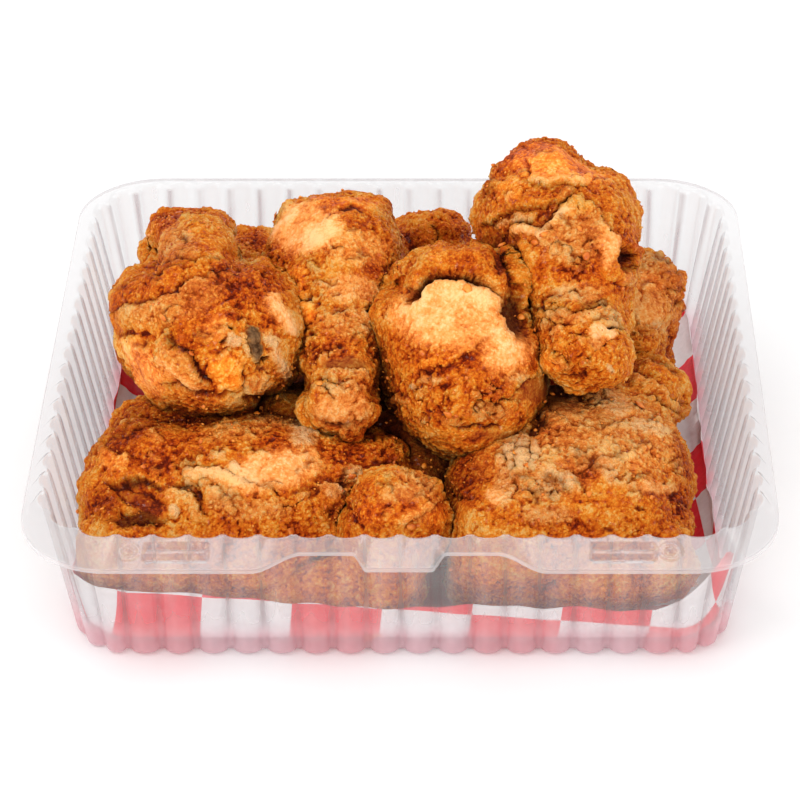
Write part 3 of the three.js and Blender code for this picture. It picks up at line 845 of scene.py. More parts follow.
def flap_shape(mark, places):
    """As spot_shape, for a flap, which also paints shade on the crust just below its edge, where the skin
    overhangs.
    """
    distance, side, fade = line_distance(places, mark["path"])
    high = np.clip(1 - distance / mark["width"], 0, 1)
    rise = np.where(side > 0, smoothstep(0, 1, high), bell(distance, 0, FLAP_GROOVE))
    below = np.where(side > 0, 0, bell(distance, 0.9, 0.9))
    rise = FLAP_RISE * (rise - 0.35 * below) * fade
    return np.where(side > 0, high, 0) * fade, rise, {"dark": below * mark["under"] * fade}


SHAPES = {"spot": spot_shape, "stroke": stroke_shape, "flap": flap_shape}


def draw_marks(piece, marks):
    """Presses the marks into the piece and writes their masks for the material."""
    mesh = piece.data
    points, normals = read_points(mesh), read_normals(mesh)
    towards = np.array(CAMERA_PLACE) - points
    towards /= np.linalg.norm(towards, axis=1)[:, None]
    facing = np.sum(normals * towards, axis=1)
    seen = smoothstep(-0.1, 0.2, facing)
    reached = smoothstep(-0.6, 0.0, facing)
    places = waver(waver(sketch_places(points), 5.0, 0.5), 1.5, 0.22)
    values = {name: np.zeros(len(points)) for name in MASKS}
    lift = np.zeros(len(points))
    for mark in marks:
        share, rise, masks = SHAPES[mark["kind"]](mark, places)
        lift += mark["lift"] * rise
        masks = [*masks.items(), *((name, share * value) for name, value in mark["masks"].items())]
        for name, value in masks:
            values[name] = np.maximum(values[name], value)
    write_points(mesh, points + normals * (lift * reached * MM)[:, None])
    for name in MASKS:
        write_mask(mesh, name, values[name] * seen)
    write_mask(mesh, "unseen", 1 - seen)


# ---------------------------------------------------------------- fried crust
LEDGES = ((0.47, 0.505), (0.57, 0.595), (0.38, 0.40))
LEDGE_SHARE = 0.42
SIDEWAYS = 1.6 * MM


def crust_group():
    """Geometry nodes that turn a smooth piece into fried crust: lumps, ledges, crags and grains."""
    tree = bpy.data.node_groups.new("Fried crust", "GeometryNodeTree")
    tree.is_modifier = True
    for side in ("INPUT", "OUTPUT"):
        tree.interface.new_socket("Geometry", in_out=side, socket_type="NodeSocketGeometry")
    for name in ("Seed", "Lump", "Crag", "Grain"):
        tree.interface.new_socket(name, in_out="INPUT", socket_type="NodeSocketFloat")
    graph = Graph(tree)
    given = graph.node("NodeGroupInput").outputs
    out = graph.node("NodeGroupOutput")
    place = graph.vector("SCALE", graph.node("GeometryNodeInputPosition").outputs[0], scale=1 / MM)
    shift = graph.node("ShaderNodeCombineXYZ", X=given["Seed"], Y=given["Seed"], Z=given["Seed"]).outputs[0]
    place = graph.vector("ADD", place, shift)
    normal = graph.node("GeometryNodeInputNormal").outputs[0]

    def mask(name):
        made = graph.node("GeometryNodeInputNamedAttribute", {"data_type": "FLOAT"}, Name=name)
        return made.outputs["Attribute"]

    rough = graph.math("SUBTRACT", 1.0, graph.product(mask("smooth"), 0.88))

    def bent(size, length):
        wander = graph.vector("SUBTRACT", graph.noise(place, length, 2.0, output="Color"), (0.5, 0.5, 0.5))
        return graph.vector("ADD", place, graph.vector("SCALE", wander, scale=size))

    patch = graph.ramp(graph.noise(place, 15.0, 2.0), 0.40, 0.62)
    share = graph.total(graph.product(patch, 0.5), graph.product(mask("crumb"), 0.75), 0.22)
    share = graph.product(share, rough)

    lump = graph.math("SUBTRACT", graph.noise(place, 13.0, 2.0), 0.5)
    lump = graph.product(lump, given["Lump"])
    ledge_noise = graph.noise(bent(16.0, 22.0), 17.0, 1.5)
    ledge = graph.total(*(graph.ramp(ledge_noise, low, high) for low, high in LEDGES))
    ledge = graph.product(ledge, graph.product(given["Lump"], LEDGE_SHARE),
                          graph.math("MULTIPLY_ADD", mask("unseen"), 0.75, 0.25))
    ridge = graph.math("MULTIPLY_ADD", graph.noise(bent(6.0, 5.0), 5.5, 3.0, 0.6), 8.0, -4.0)
    ridge = graph.math("SUBTRACT", 0.8, graph.math("ABSOLUTE", ridge))
    crag = graph.product(graph.math("MAXIMUM", ridge, -0.4), given["Crag"], share)
    knob = graph.math("SUBTRACT", 0.4, graph.cells(bent(2.5, 3.0), 1.9, "SMOOTH_F1", 0.2))
    knob = graph.product(knob, given["Grain"], graph.math("MULTIPLY_ADD", share, 2.2, 0.4))
    grain = graph.math("SUBTRACT", 0.4, graph.cells(bent(1.5, 2.0), 1.25))
    grain = graph.product(grain, given["Grain"], graph.product(rough, 1.5))
    patchy = graph.ramp(graph.noise(place, 5.0, 2.0), 0.36, 0.64, 0.35, 1.55)
    height = graph.total(lump, ledge, crag, graph.product(graph.math("ADD", knob, grain), patchy))
    sideways = graph.vector("SUBTRACT", graph.noise(place, 2.6, 2.0, output="Color"), (0.5, 0.5, 0.5))
    sideways = graph.vector("SCALE", sideways, scale=graph.product(share, SIDEWAYS))
    offset = graph.vector("ADD", graph.vector("SCALE", normal, scale=height), sideways)
    moved = graph.node("GeometryNodeSetPosition", Geometry=given["Geometry"], Offset=offset).outputs[0]
    where = graph.node("GeometryNodeInputPosition").outputs[0]
    facing = graph.node("GeometryNodeInputNormal").outputs[0]

    def sunk(iterations, scale):
        """How far a point lies below its surroundings, as a multiple of scale."""
        blurred = graph.node("GeometryNodeBlurAttribute", {"data_type": "FLOAT_VECTOR"},
                             Value=where, Iterations=iterations).outputs[0]
        depth = graph.vector("DOT_PRODUCT", graph.vector("SUBTRACT", blurred, where), facing)
        return graph.product(depth, 1 / scale)

    # These depths drive the shade painted into the crust's hollows.
    for name, value in (("sunk_fine", sunk(4, 0.20 * MM)), ("sunk_broad", sunk(40, 0.7 * MM))):
        moved = graph.node("GeometryNodeStoreNamedAttribute", {"data_type": "FLOAT", "domain": "POINT"},
                           Geometry=moved, Name=name, Value=value).outputs[0]
    graph.tree.links.new(moved, out.inputs[0])
    return tree


# Near-black colours for painted shade: the first in creases, dents and under flap edges, the second deep in
# the gaps between pieces.
PAINTED_CREASE_SHADE = (0.055, 0.008, 0.002)
PAINTED_GAP_SHADE = (0.045, 0.005, 0.001)


def painted_gap_shade(graph, place):
    """Painted shade: how deep a place lies in a gap between pieces, away from the clear walls, found by
    ambient occlusion.
    """
    nook = graph.node("ShaderNodeAmbientOcclusion", {"samples": 6}, Distance=0.020).outputs["AO"]
    parts = graph.node("ShaderNodeSeparateXYZ", Vector=place).outputs
    aside = graph.ramp(graph.math("ABSOLUTE", parts["X"]), 80.0, 92.0, 1.0, 0.0)
    inside = graph.product(graph.ramp(parts["Y"], -88.0, -76.0), aside)
    inside = graph.math("MAXIMUM", inside, graph.ramp(parts["Z"], 42.0, 54.0))
    return graph.product(graph.ramp(nook, 0.06, 0.50, 0.95, 0.0), inside)


def fried_crust_material():
    """Golden crust with painted shade in its hollows, creases and the gaps between pieces, painted glints
    on its granules, pale skin, bone and a little oil.
    """
    material, graph, out = new_material("Fried crust")
    place = graph.place_mm()
    mask = graph.mask

    def swing(value, weight):
        return graph.math("MULTIPLY_ADD", value, weight, -weight / 2)

    def held(value, low, high):
        return graph.math("MINIMUM", graph.math("MAXIMUM", value, low), high)

    wander = graph.vector("SCALE", graph.noise(place, 1.5, 2.0, output="Color"), scale=1.6)
    granule = graph.cells(graph.vector("ADD", place, wander), 1.15)
    # Painted glints: lighter specks where the granules' bumps peak.
    speck = graph.ramp(granule, 0.55, 0.15)
    tone = graph.total(
        # Painted glints on the granules.
        graph.product(speck, graph.noise(place, 4.0, 1.0), 0.40),
        swing(graph.noise(place, 21.0, 3.0, 0.55, 0.6), 1.1),
        swing(graph.noise(place, 5.0, 4.0, 0.62, 0.8), 0.95),
        swing(graph.noise(place, 1.1, 3.0, 0.65), 0.80),
        # Painted shade: darker where the crust is sunk below its surroundings, a little lighter on its
        # crests.
        graph.product(held(mask("sunk_fine"), -1.2, 4.0), -0.08),
        graph.product(held(mask("sunk_broad"), -0.5, 4.0), -0.14),
        graph.product(mask("pale"), 0.16),
        graph.product(mask("brown"), -0.26),
        0.46,
    )
    crust = graph.colours(tone, [
        (0.02, (0.140, 0.009, 0.001)),
        (0.20, (0.380, 0.038, 0.001)),
        (0.38, (0.650, 0.105, 0.004)),
        (0.55, (0.820, 0.200, 0.010)),
        (0.72, (0.930, 0.325, 0.032)),
        (0.92, (0.960, 0.500, 0.130)),
    ])
    skin = graph.colours(tone, [
        (0.15, (0.58, 0.13, 0.009)),
        (0.50, (0.88, 0.34, 0.080)),
        (0.90, (0.95, 0.55, 0.26)),
    ])
    gristle = graph.colours(tone, [
        (0.20, (0.018, 0.007, 0.003)),
        (0.55, (0.065, 0.028, 0.010)),
        (0.90, (0.200, 0.100, 0.040)),
    ])
    colour = graph.blend(graph.math("MULTIPLY", mask("pale"), 0.85, clamp=True), crust, skin)
    colour = graph.blend(mask("bone"), colour, gristle)
    # Painted shade in creases, dents and under flap edges.
    colour = graph.blend(graph.math("MULTIPLY", mask("dark"), 0.9, clamp=True), colour, PAINTED_CREASE_SHADE)
    # Painted shade deep in the gaps between pieces, from ambient occlusion.
    colour = graph.blend(painted_gap_shade(graph, place), colour, PAINTED_GAP_SHADE)
    grit = graph.total(graph.noise(place, 0.6, 3.0, 0.7), graph.product(granule, -0.8))
    rough = graph.math("SUBTRACT", 1.0, graph.product(mask("smooth"), 0.75))
    bump = graph.node("ShaderNodeBump", Strength=rough, Distance=0.0013, Height=grit).outputs[0]
    oil = graph.product(graph.ramp(graph.noise(place, 1.6, 3.0, 0.6), 0.56, 0.70, 0.0, 0.60),
                        graph.ramp(mask("bone"), 0.0, 0.5, 1.0, 0.0))
    bsdf = graph.node("ShaderNodeBsdfPrincipled", Base_Color=colour, Roughness=0.55, Normal=bump,
                      Specular_IOR_Level=0.08, Subsurface_Weight=0.08, Subsurface_Scale=0.002,
                      Subsurface_Radius=(1.0, 0.35, 0.12), Coat_Weight=oil, Coat_Roughness=0.16)
    graph.tree.links.new(bsdf.outputs[0], out.inputs["Surface"])
    return material


def shared(library, name, make):
    """The material or node group of that name, made once."""
    return library[name] if name in library else make()


def egg_shape(centre, radii, rings=10, sides=16):
    """Vertices and faces of an ellipsoid, in metres."""
    vertices, faces = [], []
    for ring in range(1, rings):
        lean = math.pi * ring / rings
        for side in range(sides):
            turn = 2 * math.pi * side / sides
            vertices.append((centre[0] + radii[0] * math.sin(lean) * math.cos(turn),
                             centre[1] + radii[1] * math.sin(lean) * math.sin(turn),
                             centre[2] + radii[2] * math.cos(lean)))
    for ring in range(rings - 2):
        for side in range(sides):
            a, b = ring * sides + side, ring * sides + (side + 1) % sides
            faces.append((a, a + sides, b + sides, b))
    top, bottom = len(vertices), len(vertices) + 1
    vertices += [(centre[0], centre[1], centre[2] + radii[2]), (centre[0], centre[1], centre[2] - radii[2])]
    last = (rings - 2) * sides
    for side in range(sides):
        faces.append((top, side, (side + 1) % sides))
        faces.append((bottom, last + (side + 1) % sides, last + side))
    return vertices, faces


def smooth_form(node, voxel, lumps=()):
    """A smooth copy of a CAD piece with its added lumps, remeshed to a fine even grid."""
    source = frame["nodes"][node]
    form = bmesh.new()
    form.from_mesh(source.data)
    bmesh.ops.remove_doubles(form, verts=form.verts, dist=0.01 * MM)
    mesh = bpy.data.meshes.new(node + "_form")
    form.to_mesh(mesh)
    form.free()
    piece = bpy.data.objects.new(node + "_form", mesh)
    bpy.context.scene.collection.objects.link(piece)
    round_off = piece.modifiers.new("Round", "SUBSURF")
    round_off.levels = 2
    apply_modifiers(piece)
    if lumps:
        body = bmesh.new()
        body.from_mesh(piece.data)
        for x, y, z, across, deep, high in lumps:
            vertices, faces = egg_shape((x * MM, y * MM, z * MM), (across * MM, deep * MM, high * MM))
            made = [body.verts.new(vertex) for vertex in vertices]
            for face in faces:
                body.faces.new([made[i] for i in face])
        body.to_mesh(piece.data)
        body.free()
    grid = piece.modifiers.new("Grid", "REMESH")
    grid.mode = "VOXEL"
    grid.voxel_size = voxel
    relax = piece.modifiers.new("Relax", "SMOOTH")
    relax.factor = 0.5
    relax.iterations = RELAX_STEPS
    return apply_modifiers(piece)


CRUST_LOWEST = 1.5 * MM
CRUST_TO_WALL = 1.6 * MM
RELAX_STEPS = 12


def keep_in_tray(piece, tray):
    """Presses the crust flat where it would pass through the paper or a wall."""
    points = read_points(piece.data)
    points[:, 2] = np.maximum(points[:, 2], CRUST_LOWEST)
    place = points[:, :2] - np.array([0, centre_shift(tray)])
    reach = np.maximum(np.abs(place) - (np.array([HALF_WIDTH, HALF_DEPTH]) - tray.corner_radius), 0)
    length = np.linalg.norm(reach, axis=1)
    room = tray.corner_radius - wall_inset(points[:, 2], tray) - CRUST_TO_WALL
    excess = np.where(points[:, 2] < HEIGHT, np.maximum(length - room, 0), 0)
    points[:, :2] -= np.sign(place) * reach * (excess / np.maximum(length, MM))[:, None]
    write_points(piece.data, points)


def fry(node, seed, marks, lumps=()):
    """Turns a CAD piece into a fried one; a lump is its centre and radii in millimetres."""
    settings = bpy.context.scene.chicken_crust
    piece = smooth_form(node, settings.voxel * (1.0), lumps)
    piece.name = node + "_fried"
    piece.data.name = piece.name
    draw_marks(piece, marks)
    crust = piece.modifiers.new("Crust", "NODES")
    crust.node_group = shared(bpy.data.node_groups, "Fried crust", crust_group)
    sockets = {s.name: s.identifier for s in crust.node_group.interface.items_tree if s.in_out == "INPUT"}
    for name, value in (("Seed", 50.0 * seed), ("Lump", settings.lump), ("Crag", settings.crag),
                        ("Grain", settings.grain)):
        crust[sockets[name]] = value
    apply_modifiers(piece)
    keep_in_tray(piece, bpy.context.scene.chicken_tray)
    shade_smooth(piece)
    surface = shared(bpy.data.materials, "Fried crust", fried_crust_material)
    finish_piece(piece, surface, "fried_crust", node)


def left_drumstick_marks():
    return [
        spot(-87, 27, 6.5, 6, turn=-50, lift=-7.0, edge=0.9),
        spot(-52, 27, 6, 5, turn=45, lift=-6.5, edge=0.9),
        spot(-70, 44, 14, 5, lift=-3.6, edge=0.9),
        spot(-95, 5, 7, 16, lift=3.4, edge=0.9),
        spot(-36, -4, 7, 14, lift=3.6, edge=0.9),
        spot(-68, 14, 26, 10, brown=0.48),
        spot(-92, 12, 5, 9, turn=-20, brown=0.9),
        spot(-79, 35, 6, 5, brown=0.7, crumb=0.6),
        spot(-75, 28, 7, 5, lift=0.8, pale=0.45),
        spot(-66, 36, 7, 4, lift=1.2, crumb=0.8),
        stroke([(-73, 31), (-71.5, 29.5), (-71, 28)], 0.5, -1.2, dark=0.9),
        flap([(-46, 17), (-54, 22), (-64, 22.5), (-72, 22), (-84, 21)], 5, 1.3, brown=0.3),
        flap([(-70, 20.5), (-76, 19), (-84, 17), (-90, 13), (-94, 8)], 6, 1.4, brown=0.55),
        flap([(-60, 18.5), (-66, 17), (-71, 14.5), (-77, 11.5), (-83, 8.5), (-89, 7), (-93, 3)], 9, 2.3,
             pale=0.45),
        spot(-70, 9, 12, 4, turn=28, pale=0.3),
        spot(-62, 1, 5, 4, pale=0.2, smooth=0.3),
        flap([(-64, -18), (-67.5, -13), (-71, -8), (-76, -5), (-80, 0)], 8, 2.8, under=0.9, pale=0.3),
        stroke([(-81, -7), (-76, -12), (-70, -17), (-66, -20)], 2.2, 0.9, pale=0.6, smooth=0.5),
        spot(-86, -11, 10, 5, turn=-52, pale=0.40, smooth=0.85, brown=0.25),
        stroke([(-94, 3), (-92.5, -7), (-89, -14), (-84, -20)], 1.0, -0.9, dark=0.5, brown=0.6),
        stroke([(-90, 0), (-85, -1), (-81, -4)], 0.9, -0.9, brown=0.7),
        flap([(-52, -19.5), (-60, -20.5), (-68, -20.5), (-76, -17), (-82, -18)], 7, 1.9,
             brown=0.15, pale=0.1),
        spot(-58, -13.5, 5.2, 5.6, lift=2.4, edge=0.6, smooth=0.75),
        stroke([(-64, -9), (-65, -14), (-61, -20)], 0.7, -0.9, brown=0.8),
        stroke([(-53, -9), (-52.5, -14), (-54, -19)], 0.8, -1.4, dark=0.7),
        spot(-49.5, -16.8, 4.6, 2.6, lift=1.3, crumb=1.0, pale=0.3),
        stroke([(-55, -21.5), (-47, -21.5), (-38, -20.5)], 0.8, -1.6, dark=0.9),
        spot(-44, -14, 7, 5, brown=0.25, crumb=0.8),
        spot(-50, -0.5, 2.4, 2.4, lift=1.4, bone=1.0, smooth=1.0),
        spot(-49.6, -4.5, 2.0, 5.0, turn=8, lift=1.0, bone=1.0, smooth=0.9),
        stroke([(-53, 0.5), (-53.2, -3), (-51.6, -8)], 0.8, 1.1, pale=0.5),
        stroke([(-52, 1), (-51.9, -3), (-50.8, -8)], 0.35, -0.9, dark=0.8),
        spot(-46.8, -9.6, 2.1, 1.1, turn=12, lift=-3.6, edge=0.2, dark=1.0),
        spot(-47.2, -12.3, 1.8, 1.4, lift=-0.6, bone=0.7, smooth=0.8),
        spot(-57.2, 0.9, 1.5, 1.1, lift=-2.0, dark=0.95),
        spot(-59.6, -2.8, 1.1, 1.2, lift=-1.6, dark=0.9),
        spot(-56.6, -3.3, 2.4, 1.9, lift=0.7, pale=1.0),
        spot(-56, 5, 5, 1.4, turn=-10, brown=0.9),
        stroke([(-46.5, 12.5), (-43.5, 8.5), (-41, 3.5), (-40, -1)], 1.9, 0.9, pale=1.0, smooth=0.6),
        stroke([(-47.6, 0), (-44.5, -4.5), (-42.2, -10), (-39.8, -15)], 1.3, 0.9, pale=1.0),
        spot(-45, 3, 2.5, 3.5, turn=-35, brown=0.7),
        spot(-60, 20, 3.5, 2, brown=0.9),
        spot(-45, 19, 4, 2.2, turn=-40, crumb=0.9, brown=0.5),
        *shards(1, -72, 8, 22, 20, 16, 0.2),
    ]


def middle_drumstick_marks():
    return [
        spot(-22, 50, 22, 5, lift=-3.4, edge=0.9),
        spot(-35, -17, 4, 4, lift=-3.0, edge=0.8),
        spot(-7, -18.5, 4, 4, lift=-3.0, edge=0.8),
        spot(-33, 34, 12, 8, pale=0.85, smooth=0.95),
        spot(-20, 43, 11, 2.6, turn=-8, brown=0.45, smooth=0.5),
        spot(-18, 40, 3.6, 1.1, lift=-0.9, dark=0.75, brown=1.0),
        stroke([(-27, 41), (-24, 38.5), (-20, 38)], 0.9, -0.6, brown=0.7),
        spot(-25, 27, 5, 3, turn=40, crumb=0.8, brown=0.6),
        spot(-15, 27, 9, 6, pale=0.25, smooth=0.35),
        stroke([(-12, 37), (-7, 33), (-4, 28)], 1.2, 0.6, brown=0.4),
        spot(-41, 22, 4.5, 3.6, lift=1.6, crumb=1.0, brown=0.5),
        spot(-43.5, 17, 2.4, 3, lift=1.2, crumb=1.0, brown=0.8),
        stroke([(-39, 19), (-38.5, 14), (-38, 9), (-36, 4)], 1.3, -2.8, dark=1.0),
        spot(-34.5, 16, 2.8, 5.5, lift=1.2, brown=0.55, smooth=0.5),
        spot(-33, 5, 3.6, 3.8, lift=1.8, brown=0.6, smooth=0.8),
        stroke([(-36, 10), (-33, 9.5), (-30, 11)], 0.7, -1.2, dark=0.7),
        spot(-23, 14, 3.5, 2, brown=0.8),
        spot(-17, 14, 9, 4.5, pale=0.45, smooth=0.3),
        flap([(-33, 10.2), (-27, 9.6), (-21, 9), (-16, 9.4), (-12, 8.6), (-8.5, 9.5)], 7, 0.6, under=0.1),
        spot(-10.5, 7.2, 2.4, 1.5, turn=-30, lift=-1.8, dark=0.8),
        spot(-18, 3, 9, 5, pale=0.3),
        spot(-28, -3, 4, 4, crumb=0.6),
        spot(-10.5, -5, 2.2, 5, brown=0.8, dark=0.2),
        spot(-31, -9, 2.4, 4, brown=0.9, dark=0.3, crumb=0.8),
        spot(-19.5, -10.3, 7.5, 2.2, lift=-0.4, bone=0.62, smooth=0.9),
        flap([(-10, -12.6), (-16, -13.4), (-22, -13.2), (-28, -11.4)], 4.5, 1.3, under=0.3,
             pale=0.45, crumb=0.8),
        stroke([(-30, -14.8), (-25, -15.8), (-21, -17), (-18, -15.4)], 0.8, -1.2, dark=0.7),
        spot(-21, -18.7, 7.5, 1.8, lift=0.7, crumb=1.0, pale=0.55),
        stroke([(-27, -17.5), (-24.5, -20.3), (-21, -22.4)], 0.7, -1.0, dark=0.6),
        spot(-20, -25.5, 9, 5.6, lift=1.2, pale=0.5, smooth=0.2, crumb=0.4),
        spot(-28.5, -24, 2, 4, brown=0.6),
        stroke([(-28, -29), (-22, -30.5), (-16, -29.5)], 0.7, -1.2, dark=0.8),
        spot(-18, -32, 3.4, 2.4, lift=1.8, crumb=1.0, brown=0.3),
        spot(-23, -21.3, 3.4, 1.3, brown=0.8),
        *shards(2, -22, 4, 11, 14, 10),
        *shards(3, -22, 30, 14, 10, 6, 0.2),
    ]


def middle_thigh_marks():
    return [
        spot(14, 33, 16, 5, lift=-6.0, edge=0.9),
        spot(-5, 21, 7, 9, turn=-40, lift=-6.5, edge=0.9),
        spot(37, 22, 7, 10, turn=40, lift=-3.5, edge=0.3, smooth=0.5, brown=0.8, dark=0.55),
        stroke([(-3, 13), (2, 20), (8, 24), (15, 25.6), (21, 25.3), (26.5, 21), (31, 16), (34.5, 11)],
               3.6, 2.6, brown=0.15),
        stroke([(-2, 8.5), (3, 12.5), (7, 16.8), (13, 18.6), (18, 18.5), (23, 16.6), (28, 13.8),
                (33, 10.6)], 1.35, -4.6, dark=1.0),
        spot(11, 19.6, 9, 1.2, turn=3, brown=0.8),
        spot(2, 12.5, 3.5, 3, turn=40, lift=-1.6, brown=0.7, dark=0.45),
        flap([(32, 10), (27, 13), (22, 16), (17, 17.2), (12, 17), (7, 15.6), (2, 11.5), (-3, 7)], 7, 1.4,
             under=0.0, smooth=0.9, pale=0.7),
        spot(15, 6, 17, 11, pale=0.85, smooth=0.85),
        spot(33, -4, 8, 9, pale=0.9, smooth=0.85),
        spot(-2, 5, 4, 4, pale=0.3),
        spot(-5, -4, 4, 6, brown=0.5),
        spot(0, -6, 6, 3, turn=-20, brown=0.45),
        flap([(1, -13.4), (8, -12), (15, -9.6), (20, -6.6), (25, -2.8), (31, 1.4)], 6, 0.9,
             under=0.2, smooth=0.3),
        spot(11, -12.6, 10, 1.4, turn=14, brown=0.75),
        spot(21, -8, 2.6, 1.8, brown=0.7),
        spot(12, -22, 20, 7, crumb=0.65),
        spot(30, -18.5, 6, 3.2, turn=18, brown=0.9, crumb=0.8),
        spot(36, -15, 4, 2.2, turn=20, pale=0.5, crumb=1.0),
        spot(41, -8, 3, 7, brown=0.7),
        flap([(26, -24), (33, -20.5), (40, -15), (45, -12)], 4, 1.2, brown=0.2),
        spot(43, -18.6, 8, 3.4, turn=28, lift=0.4, bone=0.55, brown=0.5, smooth=0.95),
        spot(28, -26, 7, 2.6, crumb=1.0, pale=0.35),
        spot(28, -34, 8, 2.0, turn=6, bone=0.45, brown=0.6, smooth=0.6),
        stroke([(14, -30), (20, -31.4), (27, -31), (33, -30)], 0.8, -1.5, dark=0.9),
        spot(9, -28, 9, 2.4, brown=0.65, crumb=0.6),
        spot(-6, -20, 2.4, 5, crumb=0.8),
        spot(3, -17.4, 1.0, 1.0, lift=0.6, pale=1.0),
        spot(37, 6, 4.2, 9, turn=19, lift=-4.0, edge=0.5, dark=1.0),
        spot(-3.5, -25.6, 1.6, 0.8, lift=0.6, pale=1.0),
        spot(9, -16, 3, 1.0, lift=0.6, pale=0.6),
        *shards(4, 14, -22, 22, 8, 14, 0.25),
    ]


def right_drumstick_marks():
    return [
        spot(52, 56, 20, 7, turn=-6, smooth=0.85, brown=0.30, pale=0.12),
        spot(33, 56, 7, 4, turn=40, brown=0.95, crumb=0.7, lift=0.8),
        spot(27, 47, 3, 5, brown=0.5, bone=0.25, crumb=0.7),
        stroke([(40.5, 57), (40, 53), (41.5, 48.5)], 0.9, -1.3, brown=0.9),
        spot(35, 46, 4.5, 4, lift=1.3, smooth=0.3),
        flap([(39, 50.6), (44, 48.8), (50, 48.6), (56, 48), (63, 50)], 5, 1.6, under=0.45, pale=0.4),
        spot(57, 45.6, 16, 2.8, turn=4, brown=0.8, crumb=0.3),
        flap([(22, 34), (29, 36.6), (36, 40), (44, 42), (52, 43), (57, 46)], 4, 1.6, brown=0.15),
        spot(46, 38, 3.6, 3, lift=-0.8, brown=0.9, dark=0.25),
        spot(36, 36.4, 6, 1.2, turn=14, pale=0.7, crumb=0.9),
        flap([(30, 31.6), (33, 33.5), (38, 36.5), (44, 38)], 3, 1.0, brown=0.1),
        spot(32, 22, 7, 11, turn=14, lift=-2.6, edge=0.5, brown=1.0, dark=0.55, smooth=0.5),
        spot(36, 13, 3.6, 9, turn=10, lift=-3.0, dark=1.0),
        spot(62, 58, 9, 7, turn=-40, lift=-4.0, edge=0.9),
        spot(37, 30, 2.2, 2, lift=-0.8, dark=0.5, brown=1.0),
        flap([(69, 11), (72, 13), (74.8, 17.5), (75, 20), (71.5, 19), (69, 21), (68.5, 26), (68, 29.4),
              (65.6, 33.4), (63, 36.5), (60.5, 41.5), (56, 43), (52, 40.6), (48.8, 35.4), (46, 33.4),
              (42, 33.8), (38, 34.2), (36.4, 31), (38.6, 27.5), (39.4, 20), (40.4, 14), (41.4, 9)],
             6, 3.0, under=0.7),
        spot(55, 31, 12, 8, pale=0.40, crumb=0.35),
        stroke([(36, 32), (40, 33), (46, 32), (50, 37), (56, 41)], 1.2, 0.5, pale=0.9, smooth=0.5),
        spot(66, 27, 2.4, 6, pale=0.7, smooth=0.5),
        spot(72.4, 17, 2.6, 2.2, pale=0.35, lift=0.6),
        spot(56, 20, 7, 2, brown=0.3),
        spot(44.5, 22, 3, 7, brown=0.45),
        spot(60, 37, 3, 3, turn=60, brown=0.45),
        spot(72, 24, 2.7, 3.8, lift=-4.0, edge=0.25, dark=0.75, brown=1.0),
        stroke([(70, 30), (74, 29.4), (77, 25), (78, 19)], 1.3, 1.4, brown=0.6),
        stroke([(76.6, 22), (78, 18), (75.5, 14)], 1.4, -1.0, brown=0.9),
        flap([(50, 12.2), (56, 14.5), (62, 13.6), (66, 12)], 3.0, 0.8, under=0.1, pale=0.35),
        spot(55, 12.3, 8, 2.6, pale=0.5),
        spot(46, 11, 5, 3, crumb=0.8, brown=0.3),
        stroke([(43, 7.6), (48, 6.4), (53, 7.2), (58, 6.2)], 0.8, -1.8, dark=0.7, brown=0.9),
        spot(62, 8.7, 5, 1.9, bone=0.5, crumb=0.3),
        flap([(70, 7.8), (64, 6.4), (57, 5.8), (50, 5.6), (45, 5)], 4.5, 1.8, under=0.7,
             pale=0.5, crumb=0.7),
        spot(53.6, 3.2, 1.8, 1.6, lift=-1.0, brown=0.9),
        spot(66, 3.0, 4.6, 1.6, bone=0.35, smooth=0.6),
        spot(68.6, 1.2, 2.4, 0.7, turn=8, lift=-2.4, dark=0.95),
        spot(64.5, -0.8, 3.4, 2.2, turn=-8, lift=0.9, pale=1.0, smooth=0.6),
        spot(62.2, -4, 1.8, 2.6, bone=0.25, pale=0.4, smooth=0.6),
        spot(55, -4, 9, 8, crumb=0.9),
        stroke([(61, -7), (65, -5), (68, -2)], 0.6, -0.8, brown=0.9),
        spot(49, -10, 3.6, 3, lift=0.8, smooth=0.4, brown=0.2),
        spot(67.4, -11.2, 0.6, 1.5, turn=35, lift=0.5, pale=1.0),
        stroke([(50, -14.6), (56, -14), (61, -14.5)], 0.8, -1.0, dark=0.7),
        spot(72, -2, 3, 3, crumb=1.0, brown=0.4),
        *shards(5, 56, 2, 13, 13, 14),
        *shards(6, 56, 28, 11, 8, 7),
        *shards(7, 48, 50, 20, 8, 9, 0.2),
    ]


def back_thigh_marks():
    return [
        flap([(74, 28), (80, 27), (86, 24.5), (91, 21.5)], 5, 1.4),
        spot(91, -9, 6, 11, lift=-6.5, edge=0.9),
        spot(82, 14, 15, 15, pale=0.35),
        spot(88, 13, 4, 7, turn=-10, brown=0.5),
        spot(80, 16, 4, 4, pale=0.3, smooth=0.4),
        spot(79, 8, 5, 5, smooth=0.6, bone=0.25, brown=0.3),
        spot(77, -1, 5, 4, brown=0.5, crumb=1.0),
        stroke([(75, 16), (78, 13), (77, 8)], 0.9, -1.0, brown=0.9),
        spot(83, 2.6, 2, 3, pale=0.7, crumb=0.8),
        *shards(8, 84, 12, 8, 14, 8),
    ]


def back_left_thigh_marks():
    return [
        spot(-71, 34, 14, 8, crumb=0.9, brown=0.30),
        spot(-81, 40, 4, 3, lift=2.6, edge=0.8),
        spot(-66, 42, 5, 3, lift=2.0, edge=0.8),
        spot(-57, 36, 4.5, 5, lift=-3.0, edge=0.8),
        spot(-84, 29, 3.5, 5, lift=-2.6, edge=0.8, brown=0.5),
        stroke([(-76, 38), (-72, 34), (-73, 29)], 1.1, -1.6, dark=0.5, brown=0.8),
        flap([(-58, 31), (-64, 33), (-70, 31), (-76, 32)], 4, 1.6, pale=0.3),
        spot(-50, 32, 4, 5, brown=0.6, crumb=0.7),
    ]


